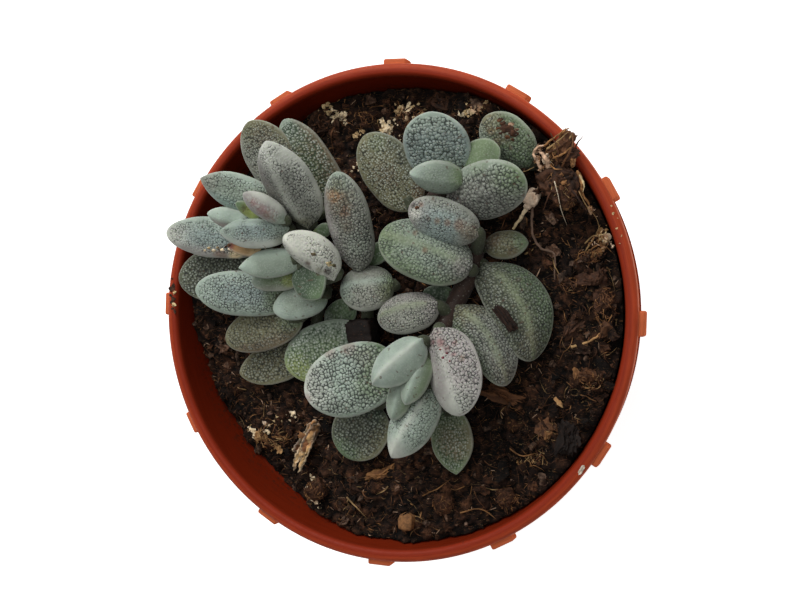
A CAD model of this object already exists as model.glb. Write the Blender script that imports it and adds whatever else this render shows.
"""The looks of the potted crassula: beaded leaves, peat with its fibres and crumbs, and the pot's plastic.

Tables and sizes are in millimetres in the model's frame, and MM turns them into metres. A leaf's left
and right are those of someone who looks from its foot to its tip, from above.
"""
import math
from collections import namedtuple

import bmesh
import bpy
import numpy as np
from mathutils import Matrix, Vector, noise
from mathutils.bvhtree import BVHTree

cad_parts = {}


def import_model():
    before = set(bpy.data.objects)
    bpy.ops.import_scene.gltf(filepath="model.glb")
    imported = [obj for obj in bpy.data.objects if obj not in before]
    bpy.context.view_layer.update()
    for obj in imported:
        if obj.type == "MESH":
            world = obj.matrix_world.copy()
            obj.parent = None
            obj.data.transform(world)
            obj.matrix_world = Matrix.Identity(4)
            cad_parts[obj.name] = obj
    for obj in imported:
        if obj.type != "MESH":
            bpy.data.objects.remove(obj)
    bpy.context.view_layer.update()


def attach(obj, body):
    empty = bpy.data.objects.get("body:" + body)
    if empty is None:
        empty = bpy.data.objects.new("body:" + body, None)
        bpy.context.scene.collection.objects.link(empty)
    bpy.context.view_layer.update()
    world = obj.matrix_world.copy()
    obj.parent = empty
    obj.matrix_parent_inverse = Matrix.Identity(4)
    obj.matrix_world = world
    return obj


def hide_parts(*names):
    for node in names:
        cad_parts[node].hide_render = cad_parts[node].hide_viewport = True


MM = 0.001
UP, DOWN = Vector((0, 0, 1)), Vector((0, 0, -1))

# Pot, mm
RIM_RADIUS = 42.5
RIM_TOP = 75.0
RIM_WIDTH = 2.1
RIM_INSIDE = RIM_RADIUS - RIM_WIDTH
COLLAR_DEPTH = 9.5
COLLAR_STEP = 1.5
COLLAR_BOTTOM = RIM_TOP - COLLAR_DEPTH
WALL = 0.9
FOOT_RADIUS = 28.8
FOOT_RING = 2.4
BOSS_RADIUS = 11.5
CHANNEL_RISE = 1.4
FLOOR = 1.2
POT_STEPS = 216
POT_SHARP = 38
DRAIN_HOLES = 8
DRAIN_RADIUS = 2.6
DRAIN_CIRCLE = 19.0
LUGS = 12
LUG_FIRST = 27.9
LUG_WIDTH = 4.1
LUG_PROUD = 0.9
LUG_HEIGHT = 3.0
LUG_BELOW_RIM = 0.9
LUG_ROUND = 0.35

# Peat, mm; its edge is given as degrees and depths below the rim
SOIL_STEPS = 460
SOIL_RINGS = 124
SOIL_BOTTOM = 2.9
SOIL_MIDDLE = 70.0
SOIL_SLOPE_X = 0.045
SOIL_LUMP = 1.1
SOIL_CRUMB = 0.7
SOIL_EDGE = [(0, 3.2), (45, 3.2), (66, 4.0), (80, 6.8), (92, 7.4), (104, 5.6), (125, 7.5), (160, 7.0),
             (172, 3.0), (184, 4.5), (196, 7.6), (215, 9.0), (227, 10.6), (240, 8.4), (250, 5.4),
             (263, 4.4), (276, 3.2), (320, 3.2), (360, 3.2)]
GAP = 0.3

# Leaves, mm: how far apart their mesh points lie, how much of the thickness is above the axis, how soft
# the keel's edge is, how high the beads stand, and where the stems end in the peat
LEAF_STEP = 0.27
UPPER_SHARE = 0.3
KEEL_SOFT = 0.07
BEAD_RISE = 0.07
ROOT_BOTTOM = 58.0
STEM_SIDES = 24
NECK_SIDES = 14

# Litter: how many pieces are tried all over the peat, and how far out each kind may lie, mm
CRUMBS = 2700
FIBRES = 1480
SPLINTERS = 3600
CLUMP_CHIPS = 130
LITTER_RADIUS = 39.4
FIBRE_RADIUS = 39.0
SPLINTER_RADIUS = 39.6
TUFT_RADIUS = 39.7
ROOT_SIDES = 14

# Heights above everything and under the leaves, from which rays look for a surface, mm
ABOVE = 100.0
UNDER = 40.0

# The photograph's view: where the camera stands in metres, its axes and its lens
CAMERA_PLACE = (0.0643, 0.00394, 0.25075)
CAMERA_UP = (0, 1, -0.0096)
CAMERA_BACK = (0.3305, 0.0091, 0.9438)
CAMERA_LENS = 49.5
CAMERA_SENSOR = 36

# Lamps: place, side lengths in metres, power in watts, colour
LAMPS = {
    "window": ((-0.16, 0.42, 0.42), (0.36, 0.3), 2.3, (1.0, 0.985, 0.96)),
    "overhead": ((0.0, 0.1, 0.75), (0.5, 0.5), 1.2, (1.0, 0.995, 0.98)),
}
LIT_POINT = (0, 0, 0.07)

Leaf = namedtuple("Leaf", "name foot tip width thick roll bend sweep wide point keel",
                  defaults=(0.0, 0.0, 0.0, 0.52, 0.55, 0.5))

# Each shoot: its stem's points and radius, then its leaves. Foot and tip are where a leaf starts and
# ends; roll turns its upper face from straight up towards its right; bend arches it upwards and sweep
# bows it towards its left; wide is where it is widest, point how bluntly it ends, keel how sharp its
# back is.
SHOOTS = {
    "shoot_upper_left": ([(-17.0, 15.7, ROOT_BOTTOM), (-17.0, 15.7, 71.0), (-16.4, 15.9, 76.0),
        (-18.4, 16.6, 80.0)], 1.7, [
        Leaf("left_under", (-22.0, 8.6, 72.0), (-39.6, 5.9, 75.5), 10.4, 3.0),
        Leaf("back_far", (-8.9, 19.0, 73.0), (-16.9, 33.2, 79.0), 7.4, 3.2),
        Leaf("back_left", (-15.6, 19.0, 74.0), (-22.9, 33.0, 80.5), 9.6, 3.2),
        Leaf("inner_green", (-14.0, 13.4, 73.0), (-10.2, 15.0, 74.0), 2.6, 1.6),
        Leaf("left_long", (-22.0, 12.3, 76.0), (-39.4, 14.3, 80.0), 7.2, 3.6),
        Leaf("back_keeled", (-12.2, 15.4, 78.0), (-15.6, 28.3, 88.5), 9.4, 4.4, 172, wide=0.5, point=0.72,
             keel=0.75),
        Leaf("left_back", (-17.6, 18.4, 80.5), (-30.3, 23.2, 84.0), 6.3, 3.4, wide=0.5, point=0.85),
        Leaf("left_small", (-20.6, 15.2, 80.0), (-29.8, 17.3, 82.5), 4.4, 2.4, 150, wide=0.5, point=0.7),
        Leaf("left_front", (-15.0, 13.9, 80.5), (-26.6, 13.9, 84.0), 6.2, 3.8, 205, wide=0.5, point=0.85,
             keel=0.7),
        Leaf("top_pink", (-14.7, 15.6, 82.8), (-20.4, 20.1, 87.3), 4.0, 3.0, 170, wide=0.5, point=0.7),
        Leaf("dry_leaf", (-20.0, 10.8, 78.9), (-27.2, 11.9, 80.2), 2.6, 1.2, 25, bend=0.6),
        Leaf("bud", (-19.2, 16.0, 82.0), (-23.2, 18.8, 84.6), 2.4, 1.6),
    ]),
    "shoot_lower_left": ([(-13.4, 4.6, ROOT_BOTTOM), (-13.4, 4.6, 71.0), (-13.0, 5.0, 78.0)], 1.7, [
        Leaf("front_low", (-16.7, -7.6, 69.6), (-29.7, -11.2, 71.0), 7.2, 2.6, wide=0.5, point=0.7),
        Leaf("front_mid", (-16.0, -0.4, 73.4), (-30.4, -5.1, 74.9), 8.0, 3.0),
        Leaf("left_big", (-17.0, 2.6, 75.5), (-34.2, 4.2, 79.0), 8.0, 3.4),
        Leaf("front_smooth", (-10.4, 3.6, 75.5), (-19.2, 0.4, 78.5), 6.2, 3.0, wide=0.45),
        Leaf("left_inner", (-14.3, 5.8, 78.0), (-22.6, 5.4, 80.0), 3.8, 2.2),
        Leaf("left_top", (-13.2, 9.2, 79.5), (-23.6, 7.8, 83.0), 5.0, 2.6, wide=0.5, point=0.95),
        Leaf("front_top", (-13.9, 8.6, 79.2), (-8.9, 2.6, 82.0), 6.6, 2.4, wide=0.5, point=0.75),
        Leaf("right_keeled", (-7.3, 6.6, 78.5), (-14.2, 13.2, 84.5), 7.9, 4.0, 150, sweep=-0.7),
    ]),
    "shoot_centre": ([(-4.8, 4.2, ROOT_BOTTOM), (-4.8, 4.2, 70.0), (-4.4, 5.0, 74.5)], 1.6, [
        Leaf("old_low", (-7.4, 1.4, 70.0), (-13.0, -2.2, 70.0), 5.0, 2.0),
        Leaf("green_broad", (-4.6, -4.1, 72.0), (-19.6, -9.4, 73.0), 10.4, 3.0),
        Leaf("green_dark", (-4.6, 8.8, 72.5), (0.4, 11.6, 73.5), 3.6, 2.0),
        Leaf("keeled_left", (1.6, 4.8, 74.5), (-7.4, 3.8, 77.0), 8.5, 3.8, 205),
        Leaf("upright_oval", (-4.2, 7.6, 75.0), (-5.8, 23.6, 82.0), 7.8, 4.0, 180, keel=0.25),
    ]),
    "shoot_front": ([(15.2, 11.2, ROOT_BOTTOM), (15.2, 11.2, 71.0), (14.8, 7.0, 73.5), (11.8, 0.6, 74.5),
        (9.6, -5.0, 77.0), (6.8, -11.4, 79.0)], 1.6, [
        Leaf("right_small", (17.0, 11.2, 72.5), (24.6, 11.6, 73.5), 4.8, 2.8, 170, wide=0.5, point=0.65),
        Leaf("back_upper", (17.4, 12.9, 77.8), (6.6, 17.5, 81.4), 7.2, 3.4, 170, point=0.5, keel=0.3),
        Leaf("back_oval", (15.7, 7.3, 76.5), (1.2, 13.1, 80.5), 10.1, 4.4, 200, point=0.5, keel=0.35),
        Leaf("right_crescent", (16.8, 8.0, 73.0), (25.6, -7.6, 74.5), 10.2, 4.4, 160, sweep=2.2, wide=0.5,
             keel=0.7),
        Leaf("right_inner", (12.6, 1.0, 74.5), (21.6, -11.6, 76.0), 8.0, 4.2, 160, sweep=1.5, wide=0.5,
             keel=0.7),
        Leaf("middle_dark", (11.6, 3.2, 72.5), (6.0, 3.4, 72.5), 3.0, 2.0),
        Leaf("middle_keeled", (10.3, 1.2, 77.0), (0.2, -1.0, 79.0), 7.4, 3.8, 205),
        Leaf("front_dark", (-2.2, -16.0, 72.6), (-8.4, -24.9, 73.3), 10.4, 3.0),
        Leaf("front_olive", (10.4, -16.0, 72.5), (12.2, -27.1, 73.5), 7.4, 3.2, wide=0.5, point=0.85),
        Leaf("front_big", (2.9, -8.4, 76.5), (-12.6, -13.9, 80.0), 12.1, 3.6),
        Leaf("right_lilac", (11.0, -2.4, 79.0), (15.5, -16.2, 81.5), 9.5, 4.4, 188, sweep=0.6, wide=0.5,
             keel=0.75),
        Leaf("front_mint", (9.8, -12.6, 78.6), (3.4, -23.6, 81.2), 7.4, 4.0, 185, wide=0.5, point=0.8),
        Leaf("young_left", (5.8, -9.6, 80.0), (4.2, -17.3, 83.0), 4.3, 2.8, 180, wide=0.5, point=0.7),
        Leaf("young_right", (9.2, -6.8, 80.0), (6.7, -14.5, 84.0), 4.5, 3.0, 180, wide=0.5, point=0.7),
        Leaf("top_mint", (8.9, -4.4, 81.0), (1.7, -11.3, 85.5), 6.8, 3.8, 188, wide=0.5, point=0.75,
             keel=0.85),
    ]),
    "shoot_right": ([(7.6, 18.8, ROOT_BOTTOM), (7.6, 18.8, 71.0), (10.8, 20.6, 75.5),
        (13.6, 22.6, 79.0)], 1.6, [
        Leaf("left_olive", (4.9, 17.8, 73.0), (-2.7, 30.2, 77.0), 9.6, 3.2),
        Leaf("back_round", (10.9, 22.0, 76.5), (10.8, 32.4, 83.0), 11.3, 3.2),
        Leaf("front_right", (12.0, 18.4, 75.2), (26.0, 21.7, 82.6), 9.8, 3.8, 205, point=0.5, keel=0.3),
        Leaf("inner_left", (15.2, 21.6, 79.5), (7.2, 22.8, 83.0), 5.9, 2.8, 150, wide=0.45, point=0.8),
        Leaf("inner_right", (14.1, 24.0, 77.2), (21.7, 26.2, 81.2), 6.2, 2.4),
        Leaf("bud", (12.4, 22.0, 79.5), (13.4, 24.4, 81.8), 3.4, 1.6),
    ]),
    "shoot_far_right": ([(24.8, 25.0, ROOT_BOTTOM), (24.8, 25.0, 74.0)], 1.4, [
        Leaf("single", (25.2, 24.4, 75.0), (18.9, 31.8, 79.5), 7.9, 3.8, 170),
    ]),
}

# Colours as they look in daylight, 0 to 255
TONES = {"white": (214, 216, 204), "bead": (186, 190, 180), "mint": (156, 172, 160), "sage": (132, 146, 132),
    "turquoise": (126, 148, 140), "blue": (140, 156, 152), "grey": (138, 140, 130), "lilac": (146, 142, 138),
    "pink": (152, 132, 130), "rose": (140, 84, 86), "crimson": (104, 34, 44), "green": (92, 114, 82),
    "leaf": (110, 128, 96), "dark_green": (58, 76, 56), "yellow_green": (138, 150, 82),
    "lime": (119, 131, 101), "olive": (112, 110, 82), "brown_olive": (104, 90, 70), "moss": (84, 88, 70),
    "dusk": (100, 94, 91), "fog": (120, 122, 114), "mauve": (166, 160, 158), "slate": (58, 66, 60),
    "ink": (40, 46, 42), "cream": (230, 206, 158), "pale": (246, 229, 202), "bone": (252, 230, 206),
    "shell": (196, 163, 136), "tan": (156, 112, 70), "straw": (172, 140, 96), "drab": (112, 90, 76),
    "rust": (112, 75, 49), "brown": (80, 52, 36), "umber": (52, 35, 27), "peat": (32, 22, 18),
    "black": (17, 13, 11), "clay_dark": (108, 32, 13), "clay": (120, 38, 17), "rim": (138, 42, 18),
    "rim_edge": (164, 62, 32), "lug": (198, 100, 62), "wall": (128, 42, 20)}

# The light of beads and dust, as linear light, and the hairs drawn on the peat: the way they lie in
# degrees, how few they are, their tone and strength
BEAD_LIGHT = (0.43, 0.48, 0.42)
DUST_LIGHT = (0.48, 0.49, 0.42)
PEAT_HAIRS = ((14, 0.6, "brown", 0.6), (71, 0.62, "rust", 0.55), (128, 0.64, "tan", 0.5),
              (161, 0.65, "straw", 0.5))

# What a leaf's skin looks like: its tone at the foot, the middle and the tip, on its left and right flank
# and along its keel, the tone between its beads, how full its net is, how white its beads are, how far
# apart they lie in mm, how wide its smooth margin is in mm, its marks (share from foot to tip, place across
# from 1 at the left to -1 at the right, size in mm, tone, strength) and where its net is thinner or fuller
# (share, place across, size in mm, factor).
Skin = namedtuple("Skin", "foot middle tip left right ridge deep net crown spacing margin marks nets",
                  defaults=(None, None, None, "ink", 0.7, 0.4, 0.5, 0.8, (), ()))

SKINS = {
    "left_under": Skin("dark_green", "moss", "moss", net=0.85, crown=0.6),
    "back_far": Skin("olive", "olive", "sage", right="brown_olive", deep="dark_green", net=0.8, crown=0.75,
        marks=((0.25, -0.6, 2.4, "brown_olive", 0.6), (0.5, 0.3, 2.6, "green", 0.5))),
    "back_left": Skin("grey", "grey", "olive", left="grey", right="olive", net=0.65, crown=0.5, spacing=0.42,
        marks=((0.5, 0.1, 3.5, "brown_olive", 0.5), (0.8, -0.2, 2.5, "brown_olive", 0.5))),
    "inner_green": Skin("yellow_green", "green", "green", deep="slate", net=0.2),
    "left_long": Skin("grey", "blue", "bead", left="lilac", right="mint", net=0.6, crown=0.35, spacing=0.44,
        marks=((0.1, 0.4, 2.4, "cream", 0.6), (0.27, 0.75, 1.7, "cream", 0.8), (0.42, 0.85, 1.5, "rust", 0.6),
               (0.6, 0.92, 1.5, "lilac", 0.6), (0.8, 0.9, 1.5, "lilac", 0.5)),
        nets=((0.3, 0.7, 3.0, 1.4),)),
    "back_keeled": Skin("grey", "fog", "bead", left="dusk", right="bead", ridge="bead", crown=0.2, margin=0.5,
        marks=((0.08, 0.2, 2.2, "olive", 0.7),),
        nets=((0.8, 0.75, 2.2, 0.1), (0.55, 0.85, 2.3, 0.1), (0.28, 0.9, 2.2, 0.2), (0.84, -0.5, 1.8, 0.25))),
    "left_back": Skin("olive", "sage", "grey", left="turquoise", right="mint", net=0.65, crown=0.2,
        marks=((0.12, -0.2, 1.8, "brown_olive", 0.5),)),
    "left_small": Skin("sage", "mint", "mint", left="pink", deep="slate", net=0.2, crown=0.2),
    "left_front": Skin("mint", "blue", "mint", left="bead", right="mint", net=0.6, crown=0.25, spacing=0.42,
        marks=((0.12, 0.5, 1.5, "olive", 0.4),),
        nets=((0.25, -0.7, 1.6, 0.15), (0.5, -0.7, 1.7, 0.1), (0.78, -0.5, 1.6, 0.15))),
    "top_pink": Skin("sage", "lilac", "lilac", right="bead", deep="rust", net=0.35, crown=0.3,
        marks=((0.55, 0.2, 1.0, "rose", 0.4), (0.75, 0.1, 0.8, "rose", 0.4), (0.4, 0.3, 0.8, "rust", 0.4))),
    "dry_leaf": Skin("cream", "straw", "tan", deep="brown", net=0.2, crown=0.0,
        marks=((0.3, 0.4, 1.2, "cream", 0.6), (0.95, 0.0, 1.2, "crimson", 0.8))),
    "bud": Skin("leaf", "yellow_green", "green", deep="slate", net=0.1, crown=0.1,
        marks=((0.7, 0.0, 0.8, "umber", 0.6),)),
    "front_low": Skin("moss", "olive", "olive", net=0.85, crown=0.5),
    "front_mid": Skin("leaf", "olive", "olive", left="brown_olive", right="olive", net=0.75, crown=0.3,
        marks=((0.92, 0.0, 2.2, "olive", 0.5),)),
    "left_big": Skin("leaf", "blue", "mint", left="sage", right="mint", net=0.75, crown=0.3,
        marks=((0.15, 0.2, 3.0, "leaf", 0.6),)),
    "front_smooth": Skin("leaf", "sage", "mint", left="mint", net=0.25, crown=0.3, spacing=0.38,
        nets=((0.5, 0.0, 2.4, 0.3),)),
    "left_inner": Skin("yellow_green", "leaf", "sage", left="grey", deep="slate", net=0.3, crown=0.3,
        spacing=0.38,
        marks=((0.25, 0.1, 1.6, "yellow_green", 0.7),)),
    "left_top": Skin("sage", "sage", "mint", left="sage", right="mint", net=0.3, crown=0.25, spacing=0.38,
        nets=((0.4, -0.3, 2.6, 0.15), (0.7, -0.2, 2.4, 0.15))),
    "front_top": Skin("dark_green", "dark_green", "green", left="green", right="dark_green", net=0.25,
        crown=0.25, spacing=0.38),
    "right_keeled": Skin("white", "white", "white", left="white", right="white", ridge="white", net=0.5,
        spacing=0.46, margin=0.4,
        marks=((0.2, 0.1, 1.0, "umber", 0.8), (0.3, 0.3, 0.9, "olive", 0.6), (0.5, 0.4, 0.6, "brown", 0.8),
               (0.43, 0.55, 0.5, "umber", 0.7)),
        nets=((0.8, 0.0, 2.0, 0.4),)),
    "old_low": Skin("green", "green", "sage", deep="slate", net=0.4),
    "green_broad": Skin("sage", "leaf", "leaf", left="leaf", right="sage", deep="dark_green", net=0.62,
        crown=0.85, margin=0.9,
        marks=((0.85, 0.3, 3.6, "yellow_green", 0.65), (0.1, 0.0, 3.0, "turquoise", 0.4))),
    "green_dark": Skin("green", "green", "dark_green", deep="slate", net=0.3),
    "keeled_left": Skin("leaf", "grey", "sage", left="grey", right="fog", ridge="mint", net=0.75, crown=0.25,
        spacing=0.46, margin=0.4,
        marks=((0.1, 0.3, 2.4, "olive", 0.5),),
        nets=((0.65, -0.7, 2.2, 0.2), (0.35, -0.8, 2.2, 0.3))),
    "upright_oval": Skin("grey", "grey", "sage", left="mauve", right="grey", net=0.75, crown=0.35, margin=0.3,
        marks=((0.7, 0.05, 3.0, "brown_olive", 0.8), (0.8, 0.15, 1.7, "tan", 0.65),
               (0.5, -0.1, 1.6, "brown_olive", 0.5), (0.64, -0.15, 1.4, "rust", 0.6),
               (0.9, 0.0, 1.6, "olive", 0.6), (0.3, -0.4, 2.6, "sage", 0.4)),
        nets=((0.4, -0.5, 3.0, 1.3), (0.75, 0.8, 2.4, 0.3), (0.5, 0.9, 2.4, 0.4), (0.25, 0.9, 2.0, 0.4))),
    "right_small": Skin("olive", "olive", "leaf", net=0.65, crown=0.3,
        marks=((0.3, 0.4, 1.6, "brown", 0.6), (0.7, -0.5, 1.4, "brown", 0.5),
               (0.06, 0.0, 1.6, "umber", 0.7))),
    "back_upper": Skin("grey", "blue", "lilac", right="grey", net=0.6, crown=0.25, spacing=0.46, margin=0.4,
        marks=((0.12, 0.0, 1.8, "brown_olive", 0.7), (0.3, -0.1, 1.2, "rust", 0.7),
               (0.45, 0.0, 0.8, "rust", 0.7), (0.58, 0.1, 0.7, "rust", 0.7), (0.7, 0.15, 0.5, "brown", 0.7),
               (0.9, 0.15, 1.2, "white", 0.6), (0.95, -0.1, 0.6, "umber", 0.8),
               (0.86, -0.3, 0.5, "rust", 0.7))),
    "back_oval": Skin("grey", "sage", "leaf", left="leaf", right="sage", ridge="lime", deep="slate", net=0.8,
        crown=0.35, spacing=0.54, margin=0.4,
        marks=((0.1, 0.0, 2.2, "lilac", 0.5), (0.6, 0.7, 3.0, "leaf", 0.5), (0.5, -0.1, 0.6, "rust", 0.6),
               (0.66, -0.5, 0.5, "rust", 0.6), (0.3, 0.2, 0.7, "brown", 0.5)),
        nets=((0.75, -0.2, 2.0, 0.5),)),
    "right_crescent": Skin("moss", "moss", "moss", left="green", right="moss", ridge="lime", net=0.9,
        crown=0.35, margin=0.3,
        marks=((0.55, -0.5, 0.8, "rust", 0.6), (0.3, 0.5, 0.6, "brown", 0.5),
               (0.85, 0.0, 2.6, "brown_olive", 0.35))),
    "right_inner": Skin("olive", "fog", "grey", right="leaf", ridge="lime", net=0.9, margin=0.3,
        marks=((0.9, 0.0, 2.4, "brown_olive", 0.4), (0.8, 0.3, 0.6, "umber", 0.6))),
    "middle_dark": Skin("green", "dark_green", "dark_green", deep="slate", net=0.2),
    "middle_keeled": Skin("lilac", "grey", "grey", right="lilac", ridge="lime", net=0.8, crown=0.2,
        spacing=0.44, margin=0.3),
    "front_dark": Skin("dark_green", "moss", "green", left="olive", right="moss", net=0.85, crown=0.5,
        margin=0.9),
    "front_olive": Skin("leaf", "olive", "leaf", right="leaf", deep="dark_green", crown=0.6, spacing=0.42,
        marks=((0.55, 0.0, 2.4, "brown_olive", 0.5), (0.75, 0.2, 1.2, "rust", 0.3))),
    "front_big": Skin("green", "mint", "bead", left="sage", net=0.9, crown=0.5, spacing=0.58,
        marks=((0.1, 0.1, 5.0, "green", 0.85), (0.3, 0.3, 4.0, "leaf", 0.7), (0.3, -0.5, 2.6, "olive", 0.5),
               (0.42, -0.88, 1.9, "rose", 0.4), (0.62, -0.9, 1.6, "rose", 0.4),
               (0.98, 0.1, 1.0, "rose", 0.35))),
    "right_lilac": Skin("mauve", "mauve", "bead", left="mauve", right="lilac", ridge="bead", net=0.8,
        spacing=0.54, margin=0.3,
        marks=((0.1, -0.1, 1.6, "pink", 0.6), (0.16, -0.3, 0.8, "crimson", 0.7), (0.2, 0.0, 1.0, "rose", 0.7),
               (0.28, 0.15, 0.7, "crimson", 0.7), (0.24, 0.4, 0.5, "rose", 0.7),
               (0.36, 0.3, 0.5, "rose", 0.6), (0.42, 0.5, 0.7, "rust", 0.6)),
        nets=((0.3, -0.9, 2.6, 0.05), (0.5, -0.8, 3.2, 0.05), (0.7, -0.65, 3.2, 0.05),
              (0.88, -0.4, 2.4, 0.1))),
    "front_mint": Skin("sage", "mint", "bead", left="sage", right="mint", ridge="bead", net=0.65, crown=0.3,
        spacing=0.46, margin=0.4,
        nets=((0.85, 0.0, 2.2, 0.3),)),
    "young_left": Skin("leaf", "sage", "sage", left="leaf", ridge="mint", deep="slate", net=0.12, crown=0.2,
        spacing=0.38),
    "young_right": Skin("leaf", "sage", "sage", left="leaf", ridge="mint", deep="slate", net=0.12, crown=0.2,
        spacing=0.38),
    "top_mint": Skin("mint", "mint", "mint", left="sage", right="mint", ridge="bead", deep="slate", net=0.15,
        crown=0.35, spacing=0.38),
    "left_olive": Skin("olive", "olive", "olive", left="olive", right="moss", net=0.5, crown=0.7, spacing=0.4,
        marks=((0.12, -0.6, 2.2, "rust", 0.5), (0.5, 0.2, 3.0, "brown_olive", 0.5),
               (0.85, -0.2, 2.0, "leaf", 0.4))),
    "back_round": Skin("mint", "blue", "mint", deep="slate", net=0.75, crown=0.6, spacing=0.56,
        marks=((0.12, -0.2, 3.0, "leaf", 0.6),)),
    "front_right": Skin("dusk", "fog", "leaf", left="sage", right="fog", net=0.8, spacing=0.6, margin=0.5,
        marks=((0.2, -0.4, 3.0, "dusk", 0.6), (0.6, 0.8, 2.6, "leaf", 0.4)),
        nets=((0.45, 0.85, 2.0, 0.15), (0.7, 0.8, 1.8, 0.2))),
    "inner_left": Skin("leaf", "sage", "mint", left="sage", net=0.25, crown=0.25, spacing=0.42),
    "inner_right": Skin("green", "leaf", "leaf", net=0.15, crown=0.2, spacing=0.42),
    "single": Skin("green", "leaf", "olive", left="sage", right="leaf", crown=0.35, margin=0.4,
        marks=((0.62, -0.1, 2.0, "brown", 0.6), (0.62, 0.45, 1.3, "tan", 0.5), (0.8, 0.2, 1.0, "tan", 0.4))),
}

# Lumps on the peat: middle, half sizes, turn about Z and tilt in degrees, seed, two tones, how much the
# grain shows, how round and how rough the lump is
Lump = namedtuple("Lump", "place half turn tilt seed tones grain roundness rough")

LUMPS = {
    "bark_block": Lump((-4.1, -3.4, 75.1), (2.376, 2.268, 1.836), 8, 4, 3, ("black", "peat"), 0.8, 0.12, 0.2),
    "bark_piece": Lump((-1.8, -28.0, 70.4), (2.7, 0.8, 0.7), 20, 12, 5, ("rust", "tan"), 1.5, 0.5, 0.7),
    "bark_flake": Lump((21.9, -0.8, 77.9), (2.4, 0.8, 0.6), 128, -25, 7, ("black", "umber"), 1.4, 0.5, 0.4),
    "bark_chip": Lump((18.9, -13.6, 71.3), (2.6, 0.9, 0.8), 165, 8, 11, ("brown", "rust"), 1.6, 0.6, 0.9),
    "peat_lump": Lump((-14.8, -31.8, 70.2), (1.9, 1.7, 1.5), 30, 0, 13, ("peat", "brown"), 0.8, 0.9, 0.4),
    "peat_lump_front": Lump((9.4, -32.5, 71.8), (1.8, 1.4, 1.2), 70, 0, 17, ("umber", "brown"), 0.9, 0.9,
                            0.4),
    "peat_lump_right": Lump((20.2, -30.6, 71.6), (1.6, 1.4, 1.2), 10, 0, 19, ("umber", "brown"), 0.9, 0.9,
                            0.4),
    "clay_ball": Lump((2.8, -36.0, 71.8), (1.5, 1.5, 1.4), 0, 0, 23, ("brown", "tan"), 0.2, 0.9, 0.2),
}

WITHERED_LEAF = Leaf("withered_leaf", (-14.2, -19.4, 70.6), (-19.4, -28.2, 68.4), 4.6, 1.5, 20)

# The withered leaf's strips: place across, first and last share of its length, width, roll, tone
STRIPS = [
    (-0.4, 0.0, 0.88, 2.0, 20, "tan"), (0.36, 0.0, 0.8, 2.1, -25, "rust"),
    (-0.05, 0.04, 0.94, 2.0, 5, "straw"), (0.85, 0.3, 1.0, 1.5, 40, "straw"),
    (-0.95, 0.3, 0.8, 1.5, -40, "rust"), (0.1, 0.5, 1.06, 1.3, 15, "straw"),
    (-0.6, 0.1, 0.6, 1.4, -15, "straw"),
]

# Roots on the peat: their points and radius in mm, the radius's factors at the foot and the tip, tones
ROOTS = {
    "pale_root": ([(25.4, 19.6, 73.7), (24.9, 18.2, 73.5), (23.3, 16.2, 72.9), (21.7, 14.0, 72.2)],
                  0.45, 1.3, 0.45, ("bone", "cream")),
    "root_thread": ([(25.2, 17.4, 73.3), (25.1, 13.2, 72.7), (26.4, 10.8, 72.4), (28.6, 9.6, 72.3),
                     (28.6, 5.6, 72.1)], 0.36, 0.8, 0.4, ("drab", "drab")),
    "root_fibre": ([(31.4, -5.4, 72.4), (34.2, -4.6, 72.4), (37.4, -2.2, 72.9)],
                   0.35, 0.8, 0.4, ("straw", "tan")),
}

# The bulb of the pale root: which point of its line each lump lies on, half sizes and turn
BULB = [(6, (1.35, 1.15, 0.8), 60), (13, (0.9, 0.6, 0.5), 60), (0, (0.7, 0.5, 0.4), 10)]

# The tangle at the wall: middle, half sizes, turn and seed, then its four strongest roots: points, tone
CLUMP = ((30.3, 20.7, 75.2), (2.5, 3.9, 3.2), 36, 29)
CLUMP_ROOTS = [
    ([(29.4, 22.0, 76.6), (30.6, 25.4, 78.8), (29.4, 28.6, 78.8)], "brown"),
    ([(30.4, 22.8, 77.0), (32.8, 26.0, 79.6), (33.0, 28.4, 79.4)], "rust"),
    ([(29.6, 20.6, 76.4), (28.8, 18.6, 78.2), (27.8, 16.6, 77.2)], "brown"),
    ([(31.4, 20.8, 76.6), (33.4, 18.6, 78.6), (34.6, 16.6, 77.4)], "umber"),
]

# The two masses at the tangle's top: middle, half sizes, turn, seed, tones, how rough
CLUMP_TOPS = [((31.2, 25.2, 77.2), (2.3, 1.7, 1.1), 25, 41, ("umber", "brown"), 0.5),
    ((31.5, 27.0, 77.9), (1.9, 1.2, 0.7), 55, 43, ("brown", "rust"), 0.6)]

# The tufts on them: middle, half sizes, how many fibres, how long and how thick they are, tones
CLUMP_TUFTS = [
    ((31.1, 25.8, 77.6), (2.7, 1.8, 1.1), 150, 1.5, 0.07, ("brown", "rust", "tan", "tan", "umber", "straw")),
    ((31.4, 27.1, 78.2), (2.0, 1.5, 0.8), 150, 1.5, 0.07, ("brown", "rust", "tan", "tan", "straw", "straw")),
]

# Flakes on the tangle: place, size, turn, tones
CLUMP_FLAKES = [((35.0, 16.6, 75.2), 0.6, 100, ("tan", "shell")),
    ((32.8, 24.0, 78.2), 0.7, 100, ("brown", "tan")), ((30.2, 26.4, 78.4), 0.7, 60, ("tan", "straw")),
    ((27.3, 26.4, 78.0), 0.5, 40, ("tan", "shell")), ((26.9, 24.7, 77.7), 0.5, 80, ("tan", "shell")),
    ((28.4, 24.9, 77.9), 0.7, 70, ("shell", "pale")), ((28.8, 23.7, 77.8), 0.6, 95, ("shell", "pale")),
    ((27.5, 23.2, 77.5), 0.45, 30, ("tan", "shell"))]

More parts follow.
